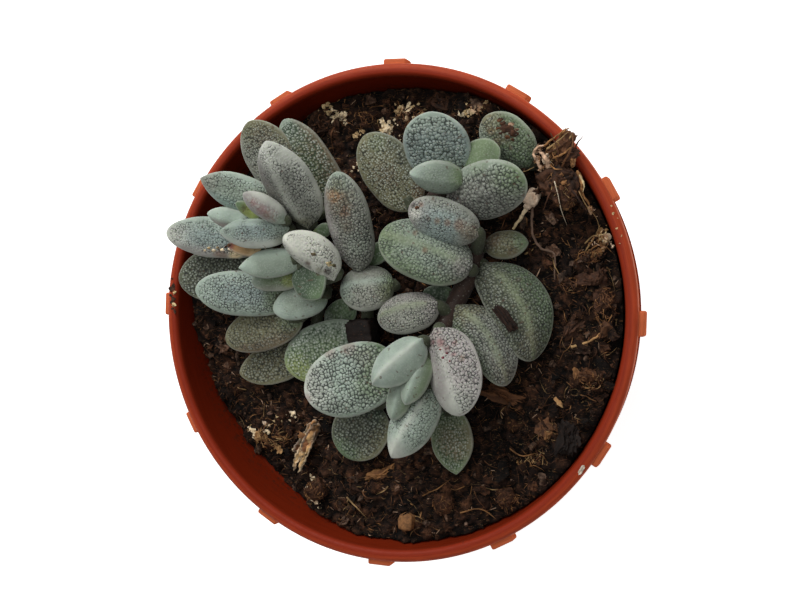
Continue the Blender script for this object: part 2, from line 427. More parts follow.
# Torn roots on the tangle: points, radius, tone
TORN_ROOTS = [
    ([(27.5, 22.9, 77.4), (27.3, 23.8, 77.7), (26.8, 24.8, 78.0), (26.5, 25.7, 78.2), (27.1, 26.5, 78.4),
      (28.3, 26.7, 78.3)], 0.42, "shell"),
    ([(28.8, 23.3, 77.6), (28.8, 24.3, 78.2), (28.1, 25.2, 78.3), (27.3, 25.9, 78.2)], 0.55, "shell"),
    ([(29.0, 23.8, 77.9), (30.0, 23.0, 78.4), (31.2, 22.9, 78.6)], 0.16, "tan"),
    ([(33.4, 22.7, 78.0), (34.0, 20.9, 77.4), (33.9, 19.3, 76.4), (34.4, 18.2, 75.4), (35.0, 17.2, 74.9)],
     0.34, "tan"),
    ([(33.7, 22.0, 78.0), (34.3, 20.6, 77.4), (34.1, 19.4, 76.6)], 0.2, "cream"),
    ([(28.0, 26.6, 78.2), (29.8, 27.8, 78.7), (31.8, 29.2, 79.0)], 0.24, "tan"),
    ([(28.6, 26.1, 78.5), (30.4, 27.2, 79.0), (32.3, 28.6, 79.3)], 0.2, "straw"),
    ([(29.0, 25.5, 78.5), (30.8, 26.4, 78.9), (32.6, 27.6, 79.2)], 0.24, "brown"),
    ([(29.6, 24.7, 78.4), (31.4, 25.3, 78.8), (33.0, 26.4, 79.0)], 0.24, "tan"),
    ([(30.6, 28.0, 78.2), (31.6, 28.8, 79.0), (32.5, 29.2, 79.4)], 0.22, "tan"),
    ([(32.2, 27.4, 78.6), (32.9, 28.4, 79.2)], 0.2, "straw"),
    ([(33.2, 26.2, 78.6), (33.8, 26.9, 79.3), (34.6, 27.7, 79.8)], 0.17, "brown"),
]

# Hairs that hang from the tangle: points, radius, tone
HAIRS = [
    ([(30.0, 21.0, 79.0), (30.4, 18.9, 78.2), (30.6, 16.6, 76.6), (30.9, 14.4, 73.4)], 0.08, "pale"),
    ([(33.6, 19.4, 77.6), (34.6, 17.2, 76.6), (35.8, 15.4, 74.6), (36.2, 13.6, 73.6)], 0.07, "straw"),
    ([(25.6, 19.4, 73.8), (26.6, 20.8, 74.8), (27.8, 22.4, 76.4)], 0.1, "shell"),
    ([(26.2, 23.6, 76.6), (24.9, 22.9, 77.4), (23.6, 22.6, 77.9)], 0.06, "straw"),
]

# Tufts of short fibres: middle, half sizes, how many, how long and how thick they are, tones
TUFTS = [
    ((36.0, 10.9, 73.8), (1.6, 1.7, 1.1), 60, 0.7, 0.08, ("brown", "tan", "tan", "straw", "shell", "rust")),
    ((37.1, 12.4, 74.6), (0.8, 1.0, 0.7), 35, 0.6, 0.08, ("tan", "shell", "cream", "straw")),
    ((34.4, 9.2, 72.6), (1.9, 0.9, 0.6), 60, 1.2, 0.07, ("brown", "rust", "tan", "umber")),
    ((34.4, -10.8, 72.0), (2.4, 1.7, 0.6), 80, 0.8, 0.06, ("tan", "straw", "rust", "brown", "brown")),
    ((27.6, -19.6, 71.6), (1.9, 1.9, 0.5), 70, 0.7, 0.05, ("brown", "straw", "rust", "rust")),
    ((37.0, 1.2, 72.8), (1.7, 3.4, 0.9), 110, 1.3, 0.07, ("brown", "tan", "rust", "rust", "umber")),
    ((31.8, 4.6, 72.4), (2.4, 1.2, 0.6), 50, 1.3, 0.06, ("brown", "tan", "rust", "umber")),
    ((9.4, -32.5, 72.4), (2.0, 1.7, 0.9), 130, 0.8, 0.05, ("brown", "rust", "brown", "rust", "umber", "tan")),
    ((20.2, -30.8, 72.2), (1.9, 1.5, 0.8), 90, 0.8, 0.05, ("brown", "rust", "brown", "umber", "tan")),
    ((22.4, -32.2, 71.8), (3.0, 1.8, 1.1), 130, 0.9, 0.05, ("brown", "rust", "brown", "umber", "tan")),
    ((-14.8, -31.8, 71.0), (2.0, 1.8, 1.0), 90, 1.1, 0.06, ("brown", "rust", "tan", "umber")),
    ((-12.4, 34.2, 70.4), (3.0, 2.0, 1.0), 90, 0.9, 0.06, ("umber", "brown", "umber", "rust")),
    ((-7.0, 34.0, 69.6), (3.4, 1.6, 0.8), 70, 1.1, 0.06, ("brown", "rust", "tan", "brown")),
    ((3.6, 33.6, 70.6), (3.4, 1.8, 0.7), 80, 1.4, 0.07, ("umber", "brown", "rust", "tan")),
    ((14.6, 34.4, 70.4), (2.8, 1.2, 0.6), 80, 1.2, 0.07, ("brown", "shell", "straw", "rust", "rust")),
    ((-24.6, -22.6, 67.4), (3.6, 2.2, 0.7), 100, 1.5, 0.07, ("brown", "tan", "straw", "rust")),
    ((24.6, -24.6, 71.0), (2.6, 1.2, 0.5), 60, 1.6, 0.06, ("brown", "tan", "straw", "rust")),
]

# Dry crusts on leaves: places from above, size, how far they stand out, tones, seed
CRUSTS = [((22.5, 29.5), 1.2, 0.15, ("umber", "brown"), 3), ((21.5, 31.0), 0.6, 0.15, ("umber", "rust"), 5),
    ((23.5, 28.8), 0.8, 0.25, ("umber", "brown"), 8), ((22.0, 30.4), 0.6, 0.2, ("umber", "brown"), 9),
    ((21.2, 29.6), 0.4, 0.15, ("umber", "rust"), 31), ((22.6, 28.2), 0.5, 0.15, ("brown", "rust"), 32),
    ((23.2, 30.2), 0.5, 0.2, ("rust", "shell"), 33), ((21.6, 28.8), 0.35, 0.15, ("umber", "brown"), 34),
    ((24.0, 29.4), 0.4, 0.2, ("brown", "shell"), 35), ((23.4, 27.8), 0.35, 0.2, ("umber", "rust"), 36),
    ((-9.2, 9.9), 0.45, 0.3, ("brown_olive", "olive"), 11), ((-7.2, 8.3), 0.6, 0.3, ("olive", "cream"), 12),
    ((-6.6, 8.0), 0.35, 0.4, ("brown", "olive"), 13), ((-32.2, 11.0), 0.3, 0.2, ("cream", "pale"), 15),
    ((-31.4, 11.4), 0.35, 0.2, ("tan", "cream"), 16), ((-30.6, 11.0), 0.4, 0.2, ("cream", "pale"), 17),
    ((-29.8, 11.5), 0.35, 0.2, ("umber", "cream"), 26), ((-29.1, 11.1), 0.4, 0.2, ("cream", "pale"), 27),
    ((-28.4, 11.6), 0.35, 0.2, ("umber", "brown"), 28), ((-27.7, 11.2), 0.4, 0.2, ("cream", "pale"), 29),
    ((-26.9, 11.8), 0.5, 0.2, ("umber", "rust"), 18), ((-25.9, 12.2), 0.5, 0.25, ("umber", "tan"), 19),
    ((8.3, 17.2), 0.5, 0.25, ("umber", "rust"), 21), ((12.7, -6.9), 0.3, 0.12, ("rose", "crimson"), 23),
    ((13.3, -6.2), 0.25, 0.12, ("rose", "crimson"), 24), ((13.9, -7.4), 0.2, 0.12, ("rose", "crimson"), 25),
    ((12.2, -5.6), 0.25, 0.12, ("rose", "crimson"), 26)]

# Bits that lie on the peat: place, half sizes, the two tones
BITS = [((2.3, 35.5), (0.7, 0.5, 0.4), ("cream", "pale")), ((3.1, 35.7), (0.5, 0.4, 0.4), ("cream", "pale")),
    ((4.3, 35.1), (0.6, 0.5, 0.4), ("straw", "cream")), ((5.2, 34.4), (0.7, 0.5, 0.4), ("tan", "cream")),
    ((3.8, 33.2), (0.5, 0.4, 0.3), ("cream", "pale")), ((-1.7, 32.1), (0.5, 0.4, 0.3), ("straw", "cream")),
    ((-0.8, 32.7), (0.4, 0.4, 0.3), ("cream", "pale")), ((1.1, 31.1), (0.4, 0.3, 0.3), ("cream", "pale")),
    ((12.7, 33.5), (0.6, 0.4, 0.3), ("cream", "pale")), ((13.4, 34.1), (0.5, 0.4, 0.3), ("straw", "cream")),
    ((-14.6, 33.8), (2.2, 1.6, 1.2), ("black", "brown")),
    ((-13.6, 36.9), (0.7, 0.5, 0.4), ("straw", "cream")),
    ((-12.4, 36.0), (0.6, 0.5, 0.4), ("straw", "cream")), ((-11.6, 35.0), (0.7, 0.6, 0.4), ("cream", "pale")),
    ((-9.8, 35.2), (0.7, 0.6, 0.4), ("cream", "pale")), ((-9.5, 34.3), (0.6, 0.5, 0.4), ("cream", "pale")),
    ((-1.2, 31.4), (0.5, 0.4, 0.3), ("cream", "pale")), ((-7.0, 31.6), (0.4, 0.3, 0.3), ("tan", "cream")),
    ((-7.2, 25.8), (0.4, 0.3, 0.3), ("cream", "pale")), ((36.4, 13.6), (0.6, 0.5, 0.4), ("tan", "straw")),
    ((37.3, 12.6), (0.6, 0.5, 0.5), ("straw", "pale")), ((36.9, 11.4), (0.6, 0.5, 0.4), ("tan", "shell")),
    ((37.9, 11.4), (0.5, 0.4, 0.4), ("tan", "pale")), ((35.8, 12.2), (0.6, 0.4, 0.4), ("brown", "tan")),
    ((-2.4, 33.0), (0.6, 0.5, 0.4), ("cream", "pale")), ((36.4, 2.6), (1.6, 1.1, 0.9), ("umber", "brown")),
    ((36.0, 6.0), (1.3, 1.0, 0.8), ("umber", "brown")), ((36.9, -2.6), (1.2, 0.9, 0.7), ("umber", "rust")),
    ((31.2, -2.6), (1.5, 1.0, 0.7), ("peat", "brown")), ((33.6, 5.6), (1.3, 0.8, 0.6), ("umber", "brown")),
    ((-26.5, -20.6), (0.95, 0.4, 0.35), ("shell", "pale")),
    ((-26.0, -21.8), (0.5, 0.4, 0.3), ("cream", "pale")),
    ((-23.1, -19.9), (0.5, 0.4, 0.3), ("straw", "cream")),
    ((-21.0, -19.0), (0.5, 0.4, 0.3), ("cream", "pale")),
    ((-28.7, -22.5), (0.4, 0.4, 0.3), ("cream", "pale")),
    ((-20.4, -25.5), (0.5, 0.4, 0.3), ("cream", "pale")),
    ((-16.2, -30.3), (0.6, 0.4, 0.3), ("cream", "pale")),
    ((-15.0, -34.3), (0.5, 0.4, 0.3), ("cream", "pale")), ((14.2, 34.2), (0.6, 0.5, 0.4), ("shell", "cream")),
    ((15.4, 34.6), (0.7, 0.5, 0.4), ("tan", "shell")), ((16.3, 34.9), (0.5, 0.4, 0.3), ("tan", "cream")),
    ((1.8, 34.8), (0.6, 0.5, 0.4), ("shell", "cream")), ((0.7, 35.7), (0.5, 0.4, 0.4), ("tan", "cream")),
    ((6.4, 33.8), (0.6, 0.5, 0.3), ("tan", "shell")), ((-27.4, -23.8), (0.7, 0.5, 0.4), ("tan", "straw")),
    ((-26.0, -24.5), (0.8, 0.6, 0.4), ("rust", "tan")), ((-24.4, -25.0), (0.7, 0.6, 0.4), ("tan", "straw")),
    ((-17.4, -22.3), (0.8, 0.6, 0.4), ("rust", "tan")), ((29.2, -14.4), (1.0, 0.4, 0.3), ("tan", "straw")),
    ((32.2, -9.8), (0.8, 0.6, 0.4), ("brown", "tan")), ((27.4, -20.0), (0.8, 0.5, 0.4), ("brown", "tan")),
    ((17.0, -35.6), (0.8, 0.5, 0.4), ("tan", "straw")), ((35.1, -15.7), (1.7, 1.5, 1.1), ("black", "peat")),
    ((33.9, -10.2), (1.4, 1.1, 0.9), ("umber", "rust")), ((26.7, -18.9), (1.0, 1.1, 0.6), ("umber", "rust")),
    ((22.4, -32.2), (3.1, 1.9, 1.3), ("umber", "rust")), ((30.6, -20.6), (1.9, 1.6, 0.9), ("black", "peat")),
    ((35.4, 9.8), (1.1, 0.6, 0.6), ("rust", "tan")), ((23.8, -3.4), (1.2, 0.8, 0.6), ("black", "umber")),
    ((7.8, 36.2), (1.6, 0.9, 0.6), ("black", "brown"))]

# Crumbs on the rim: place and size; and the white flake: place, half sizes, turn
RIM_CRUMBS = [((-41.3, 6.1), 0.22), ((-41.0, 4.9), 0.3), ((-41.5, 4.2), 0.42), ((-40.8, 3.6), 0.36),
    ((-41.6, 3.1), 0.3), ((-41.0, 2.5), 0.45), ((-41.4, 1.9), 0.26), ((-40.9, 1.3), 0.34),
    ((-41.3, 0.7), 0.2), ((-40.7, 0.2), 0.28), ((38.3, 17.2), 0.12), ((38.6, 16.0), 0.15),
    ((39.3, 15.2), 0.1), ((39.1, 13.6), 0.17), ((39.9, 12.4), 0.12), ((39.6, 11.2), 0.14)]
RIM_FLAKE = ((33.6, -24.8), (0.6, 0.24, 0.16), 60)

# Long fibres and hairs: their places from above, how high they stand, radius, tone
THREADS = [
    ([(-9.1, -32.8), (-7.2, -34.2), (-5.5, -36.1)], 0.4, 0.16, "straw"),
    ([(34.3, -12.2), (36.1, -11.2), (37.5, -10.8), (37.9, -12.0)], 0.5, 0.15, "straw"),
    ([(-30.6, -21.1), (-30.8, -24.3), (-29.0, -26.6)], 0.3, 0.07, "straw"),
    ([(28.0, 9.4), (29.0, 7.2), (30.2, 4.6)], 0.5, 0.1, "straw"),
    ([(33.6, 11.4), (35.2, 12.6), (37.0, 11.8)], 1.2, 0.14, "straw"),
    ([(34.4, 10.4), (36.4, 11.2), (38.0, 9.8)], 1.0, 0.12, "tan"),
    ([(33.4, 9.8), (35.4, 12.6), (36.0, 14.4)], 1.0, 0.12, "straw"),
    ([(35.0, 13.2), (36.6, 11.0), (38.2, 11.6)], 1.4, 0.1, "cream"),
    ([(20.0, -22.0), (22.8, -23.6), (25.4, -23.2)], 0.4, 0.14, "tan"),
    ([(12.4, -33.8), (15.6, -33.0), (18.4, -34.6)], 0.4, 0.14, "tan"),
    ([(-24.4, -22.0), (-21.6, -23.4), (-19.6, -21.8)], 0.4, 0.1, "tan"),
    ([(10.2, 37.0), (13.2, 36.2), (16.4, 36.6)], 0.4, 0.12, "tan"),
    ([(27.6, -2.2), (30.0, -4.8), (33.2, -5.4)], 0.5, 0.12, "straw"),
]


def linear(colour):
    """A colour of 0 to 255 as linear light."""
    share = np.asarray(colour, dtype=float) / 255
    return np.where(share <= 0.04045, share / 12.92, ((share + 0.055) / 1.055) ** 2.4)


TONE = {name: linear(colour) for name, colour in TONES.items()}


def mingled(tones, share):
    """Two tones mixed by a share a point."""
    share = np.clip(np.asarray(share), 0, 1)[:, None]
    return TONE[tones[0]] * (1 - share) + TONE[tones[1]] * share


def smooth_step(low, high, value):
    """0 below low, 1 above high, with soft ends."""
    share = np.clip((value - low) / (high - low), 0.0, 1.0)
    return share * share * (3 - 2 * share)


def smooth_run(points, between):
    """Points along a smooth curve through the given ones."""
    ends = [Vector(point) for point in points]
    ends = [ends[0] * 2 - ends[1]] + ends + [ends[-1] * 2 - ends[-2]]
    run = []
    for index in range(1, len(ends) - 2):
        before, start, stop, after = ends[index - 1:index + 3]
        for step in range(between):
            t = step / between
            run.append(0.5 * ((2 * start) + (stop - before) * t
                              + (2 * before - 5 * start + 4 * stop - after) * t ** 2
                              + (3 * start - before - 3 * stop + after) * t ** 3))
    run.append(ends[-2])
    return run


def placed(name, data):
    """A new object in the scene."""
    thing = bpy.data.objects.new(name, data)
    bpy.context.scene.collection.objects.link(thing)
    return thing


def apply_modifiers(thing):
    """Gives an object the mesh that its modifiers make of it."""
    bpy.context.view_layer.update()
    graph = bpy.context.evaluated_depsgraph_get()
    old, name = thing.data, thing.data.name
    mesh = bpy.data.meshes.new_from_object(thing.evaluated_get(graph))
    thing.modifiers.clear()
    thing.data = mesh
    bpy.data.meshes.remove(old)
    mesh.name = name


def rod(points, radii, sides):
    """A closed round rod through points in mm, each with its own radius."""
    points = [Vector(point) for point in points]
    across = None
    corners = []
    for index, point in enumerate(points):
        run = (points[min(index + 1, len(points) - 1)] - points[max(index - 1, 0)]).normalized()
        across = run.orthogonal() if across is None else across - run * across.dot(run)
        across.normalize()
        other = run.cross(across)
        for step in range(sides):
            angle = 2 * math.pi * step / sides
            corners.append(point + (across * math.cos(angle) + other * math.sin(angle)) * radii[index])
    faces = [tuple(reversed(range(sides)))]
    for start in range(0, (len(points) - 1) * sides, sides):
        for step in range(sides):
            after = (step + 1) % sides
            faces.append((start + step, start + after, start + sides + after, start + sides + step))
    faces.append(tuple(range((len(points) - 1) * sides, len(points) * sides)))
    return corners, faces


def shell_faces(rings, steps):
    """The faces of a shell of one point, rings of a number of steps, and one point."""
    final = 1 + rings * steps
    faces = []
    for step in range(steps):
        after = (step + 1) % steps
        faces.append((0, 1 + step, 1 + after))
        for start in range(1, final - steps, steps):
            faces.append((start + step, start + steps + step, start + steps + after, start + after))
        faces.append((final, final - steps + after, final - steps + step))
    return faces


class Sheaf:
    """Points, faces and what each of them carries, gathered for one mesh. Places are in mm."""

    KINDS = {"tone": ("FLOAT_COLOR", "POINT", "color"), "deep": ("FLOAT_COLOR", "POINT", "color"),
             "net": ("FLOAT", "POINT", "value"), "crown": ("FLOAT", "POINT", "value"),
             "skin": ("FLOAT_VECTOR", "CORNER", "vector")}

    def __init__(self):
        self.points = []
        self.faces = []
        self.carried = {label: [] for label in self.KINDS}
        self.count = 0

    def add(self, points, faces, tone=(0, 0, 0), deep=(0, 0, 0), net=0.0, crown=0.0, skin=(0, 0, 0)):
        """Takes in a closed shell. Skin is one value or one a face corner, the others one or one a point."""
        amount = len(points)
        corners = sum(len(face) for face in faces)
        for label, values, shape in (("tone", tone, (amount, 3)), ("deep", deep, (amount, 3)),
                                     ("net", net, (amount,)), ("crown", crown, (amount,)),
                                     ("skin", skin, (corners, 3))):
            self.carried[label].append(np.broadcast_to(np.asarray(values, dtype=float), shape))
        self.points.append(np.asarray(points, dtype=float))
        self.faces.extend(tuple(corner + self.count for corner in face) for face in faces)
        self.count += amount

    def add_rod(self, line, radii, sides, tone, mottle=None):
        """Takes in a rod; tone is one colour or one a point, mottle the strength and waves of its noise."""
        corners, faces = rod(line, radii, sides)
        tone = np.asarray(tone)
        if tone.ndim == 2:
            tone = np.repeat(tone, sides, axis=0)
        if mottle:
            strength, waves = mottle
            shade = [1.0 + strength * noise.noise(corner * waves) for corner in corners]
            tone = tone * np.array(shade)[:, None]
        self.add([tuple(corner) for corner in corners], faces, tone)

    def take(self, other):
        """Takes in the points and faces of another sheaf."""
        self.add(np.concatenate(other.points), other.faces)

    def tree(self):
        """A search tree of its faces."""
        return BVHTree.FromPolygons(np.concatenate(self.points).tolist(), self.faces)

    def build(self, name, finish, sharp=None):
        """The mesh object, with what its points carry as attributes."""
        mesh = bpy.data.meshes.new(name)
        mesh.from_pydata((np.concatenate(self.points) * MM).tolist(), [], self.faces)
        for label, (kind, domain, field) in self.KINDS.items():
            values = np.concatenate(self.carried[label])
            if field == "color":
                values = np.column_stack([values, np.ones(len(values))])
            mesh.attributes.new(label, kind, domain).data.foreach_set(field, values.ravel())
        mesh.materials.append(finish)
        mesh.shade_smooth()
        if sharp is not None:
            mesh.set_sharp_from_angle(angle=math.radians(sharp))
        return placed(name, mesh)


def leaf_length(leaf):
    """How far a leaf's tip is from its foot, mm."""
    return (Vector(leaf.tip) - Vector(leaf.foot)).length


def leaf_axes(leaf):
    """A leaf's run from foot to tip, the level direction to its left, its own left and its upper side."""
    run = (Vector(leaf.tip) - Vector(leaf.foot)).normalized()
    level = Vector((-run.y, run.x, 0)).normalized()
    turn = Matrix.Rotation(math.radians(leaf.roll), 3, run)
    return run, level, turn @ level, turn @ run.cross(level)


def leaf_half_width(share, wide, point):
    """Half width from foot (0) to tip (1), as a share of the widest, which is at wide."""
    near = np.clip((wide - share) / wide, 0, 1)
    far = np.clip((share - wide) / (1 - wide), 0, 1)
    return np.where(share < wide, (1 - near ** 2.5) ** 0.5, (1 - far ** 2.1) ** point)


def leaf_depth(share):
    """Thickness from foot (0) to tip (1), as a share of the thickest."""
    off = np.abs(share - 0.45) / 0.55
    return np.clip(1 - off ** 2.4, 0, 1) ** 0.55


def leaf_places(leaf, share, angle):
    """Where points of a leaf's skin and of its axis lie, for shares from foot to tip and angles round it."""
    _, level, left, upper = (np.array(axis) for axis in leaf_axes(leaf))
    arch = (4 * share * (1 - share))[..., None]
    foot = np.array(leaf.foot)
    middle = foot + (np.array(leaf.tip) - foot) * share[..., None]
    middle = middle + level * leaf.sweep * arch - upper * leaf.bend * arch
    across = leaf.width / 2 * leaf_half_width(share, leaf.wide, leaf.point) * np.cos(angle)
    rise = np.sin(angle)
    over = UPPER_SHARE * leaf.thick * np.clip(rise, 0, 1) ** 0.8
    whole = math.hypot(1, KEEL_SOFT)
    ridge = (whole - np.hypot(np.cos(angle), KEEL_SOFT)) / (whole - KEEL_SOFT)
    keeled = (1 - leaf.keel) * np.clip(-rise, 0, 1) + leaf.keel * ridge
    under = -(1 - UPPER_SHARE) * leaf.thick * keeled
    out = np.where(rise > 0, over, under) * leaf_depth(share)
    return middle + left * across[..., None] + upper * out[..., None], middle


def wavy(points, size, seed):
    """Smooth noise of about -1 to 1 at each point, with waves of about size in mm."""
    shift = Vector((seed, seed * 1.7, -seed))
    return np.array([noise.noise(Vector(point) / size + shift) for point in points])


def leaf_shell(leaf, spacing):
    """A leaf's closed shell: points, faces, and where each face corner lies on the skin, in beads; then each
    point's share from foot to tip, its angle round the leaf and its place on the axis."""
    rows = max(12, round(leaf_length(leaf) * 1.57 / LEAF_STEP))
    around = max(16, 2 * round(leaf.width * 1.12 / LEAF_STEP))
    facing = 1 if leaf_axes(leaf)[3].z > 0 else -1
    turn = 2 * math.pi * np.arange(around) / around - facing * math.pi / 2
    polar = math.pi * (np.arange(rows - 1) + 1) / rows
    share = np.repeat(((1 - np.cos(polar)) / 2)[:, None], around, axis=1)
    angle = np.repeat(turn[None, :], rows - 1, axis=0)
    places, middle = leaf_places(leaf, share, angle)
    ends, end_middle = leaf_places(leaf, np.array([0.0, 1.0]), np.zeros(2))

    steps = np.linalg.norm(np.diff(places, axis=1, append=places[:, :1]), axis=2)
    girth = np.concatenate([np.zeros((rows - 1, 1)), np.cumsum(steps, axis=1)], axis=1)
    girth -= girth[:, -1:] / 2
    path = np.vstack([ends[:1], places[:, around // 2], ends[1:]])
    along = np.concatenate([[0.0], np.cumsum(np.linalg.norm(np.diff(path, axis=0), axis=1))])

    def spot(row, column):
        """Where a point of the grid lies on the skin."""
        return girth[row, column] / spacing, along[row + 1] / spacing, 0.0

    foot_point = (rows - 1) * around
    last = (rows - 2) * around
    faces = []
    corners = []
    for column in range(around):
        after = (column + 1) % around
        faces += [(foot_point, after, column), (foot_point + 1, last + column, last + after)]
        corners += [(0.0, 0.0, 0.0), spot(0, column + 1), spot(0, column)]
        corners += [(0.0, along[-1] / spacing, 0.0), spot(rows - 2, column), spot(rows - 2, column + 1)]
        for row in range(rows - 2):
            start = row * around
            faces.append((start + column, start + after, start + around + after, start + around + column))
            corners += [spot(row, column), spot(row, column + 1)]
            corners += [spot(row + 1, column + 1), spot(row + 1, column)]
    return (np.vstack([places.reshape(-1, 3), ends]), faces, np.array(corners),
            np.concatenate([share.ravel(), [0.0, 1.0]]), np.concatenate([angle.ravel(), [0.0, 0.0]]),
            np.vstack([middle.reshape(-1, 3), end_middle]))


def blend(base, tone, weight):
    """Colours moved towards a tone by a weight a point."""
    return base + (TONE[tone] - base) * np.clip(weight, 0, 1)[:, None]


def ridge_band(share, turn, rough):
    """How near each point is to the keel, 1 on it."""
    return np.exp(-((turn + 0.08 * rough) / 0.2) ** 2) * smooth_step(0.05, 0.2, share)


def leaf_mesh(leaf, skin, seed):
    """A leaf's closed skin: points, faces and what each of them carries."""
    points, faces, corners, share, angle, middle = leaf_shell(leaf, skin.spacing)
    corners = corners + np.array([seed * 13.7 % 50, seed * 7.3 % 50, 0.0])
    length, half_width = leaf_length(leaf), leaf.width / 2
    side = (points - middle) @ np.array(leaf_axes(leaf)[1]) / half_width
    turn = np.cos(angle)
    widths = leaf_half_width(share, leaf.wide, leaf.point)
    rough = wavy(points, 3.4, seed) * 0.5 + wavy(points, 1.5, seed + 5) * 0.25

    def away(spot_share, spot_side):
        """How far each point is from a spot of the leaf, mm."""
        return np.hypot((share - spot_share) * length, (side - spot_side) * half_width)

    place = share + 0.08 * rough
    tone = np.repeat(TONE[skin.foot][None, :], len(share), axis=0)
    tone = blend(tone, skin.middle, smooth_step(0.08, 0.38, place))
    tone = blend(tone, skin.tip, smooth_step(0.6, 0.95, place))
    for flank, way in ((skin.left, 1), (skin.right, -1)):
        if flank:
            tone = blend(tone, flank, 0.8 * smooth_step(0.15, 0.75, way * side + 0.15 * rough))
    if skin.ridge:
        tone = blend(tone, skin.ridge, 0.6 * ridge_band(share, turn, rough))
    for mark_share, mark_side, size, name, strength in skin.marks:
        distance = away(mark_share, mark_side) * (1 + 0.6 * rough) / size
        tone = blend(tone, name, strength * (1 - smooth_step(0.35, 1.1, distance)))
    inset = half_width * widths * (1 - np.abs(turn))
    tone = blend(tone, "bead", 0.3 * (1 - smooth_step(0.1, 0.4, inset + 0.15 * rough)))

    edge = smooth_step(0.35 * skin.margin, 1.25 * skin.margin, inset + 0.25 * rough)
    edge *= smooth_step(0.4 * skin.margin, 1.5 * skin.margin, (1 - share) * length)
    net = skin.net * edge * np.clip(0.78 + 0.7 * rough + 0.2 * skin.net, 0, 1)
    for net_share, net_side, size, factor in skin.nets:
        distance = away(net_share, net_side) * (1 + 0.35 * rough) / size
        net = net * (factor + (1 - factor) * smooth_step(0.5, 1.1, distance))
    crown = skin.crown * (0.35 + 0.65 * edge)
    if skin.ridge:
        calm = 1 - 0.55 * ridge_band(share, turn, rough)
        net, crown = net * calm, crown * calm

    swell = 0.16 * wavy(points, 4.2, seed + 11) * np.sqrt(np.clip(widths, 0, 1))
    outward = points - middle
    lengths = np.maximum(np.linalg.norm(outward, axis=1), 0.2)
    points = points + outward * (swell / lengths)[:, None]
    return points, faces, tone, TONE[skin.deep], net, crown, corners


def nearest_on_stem(point, stem):
    """The point of a stem's line that lies nearest to a point."""
    found = []
    for start, stop in zip(stem, stem[1:]):
        start = Vector(start)
        run = Vector(stop) - start
        share = min(max((point - start).dot(run) / run.length_squared, 0), 1)
        found.append(start + run * share)
    return min(found, key=lambda place: (place - point).length)


def build_shoot(name, number, finish, cover):
    """A shoot: its stem and necks, and every leaf with its beads. Its bare leaves go into the cover too."""
    stem, radius, leaves = SHOOTS[name]
    sheaf = Sheaf()
    for index, leaf in enumerate(leaves):
        parts = leaf_mesh(leaf, SKINS[leaf.name], number * 20 + index + 1)
        sheaf.add(*parts)
        cover.add(*parts[:2])
        foot = Vector(leaf.foot)
        line = smooth_run([nearest_on_stem(foot, stem), foot, foot.lerp(Vector(leaf.tip), 0.16)], 5)
        neck = min(1.1, leaf.width * 0.25, leaf.thick * 0.4)
        sheaf.add_rod(line, [neck] * len(line), NECK_SIDES, TONE["umber"] * 0.5 + TONE["green"] * 0.3)
    line = smooth_run(stem, 8)
    share = smooth_step(0.7, 1.0, np.linspace(0, 1, len(line)))[:, None]
    tone = TONE["umber"] * (1 - share) + TONE["green"] * 0.7 * share
    sheaf.add_rod(line, [radius] * len(line), STEM_SIDES, tone)
    thing = sheaf.build(name.replace("shoot", "leaves"), finish)
    raise_beads(thing)
    return thing


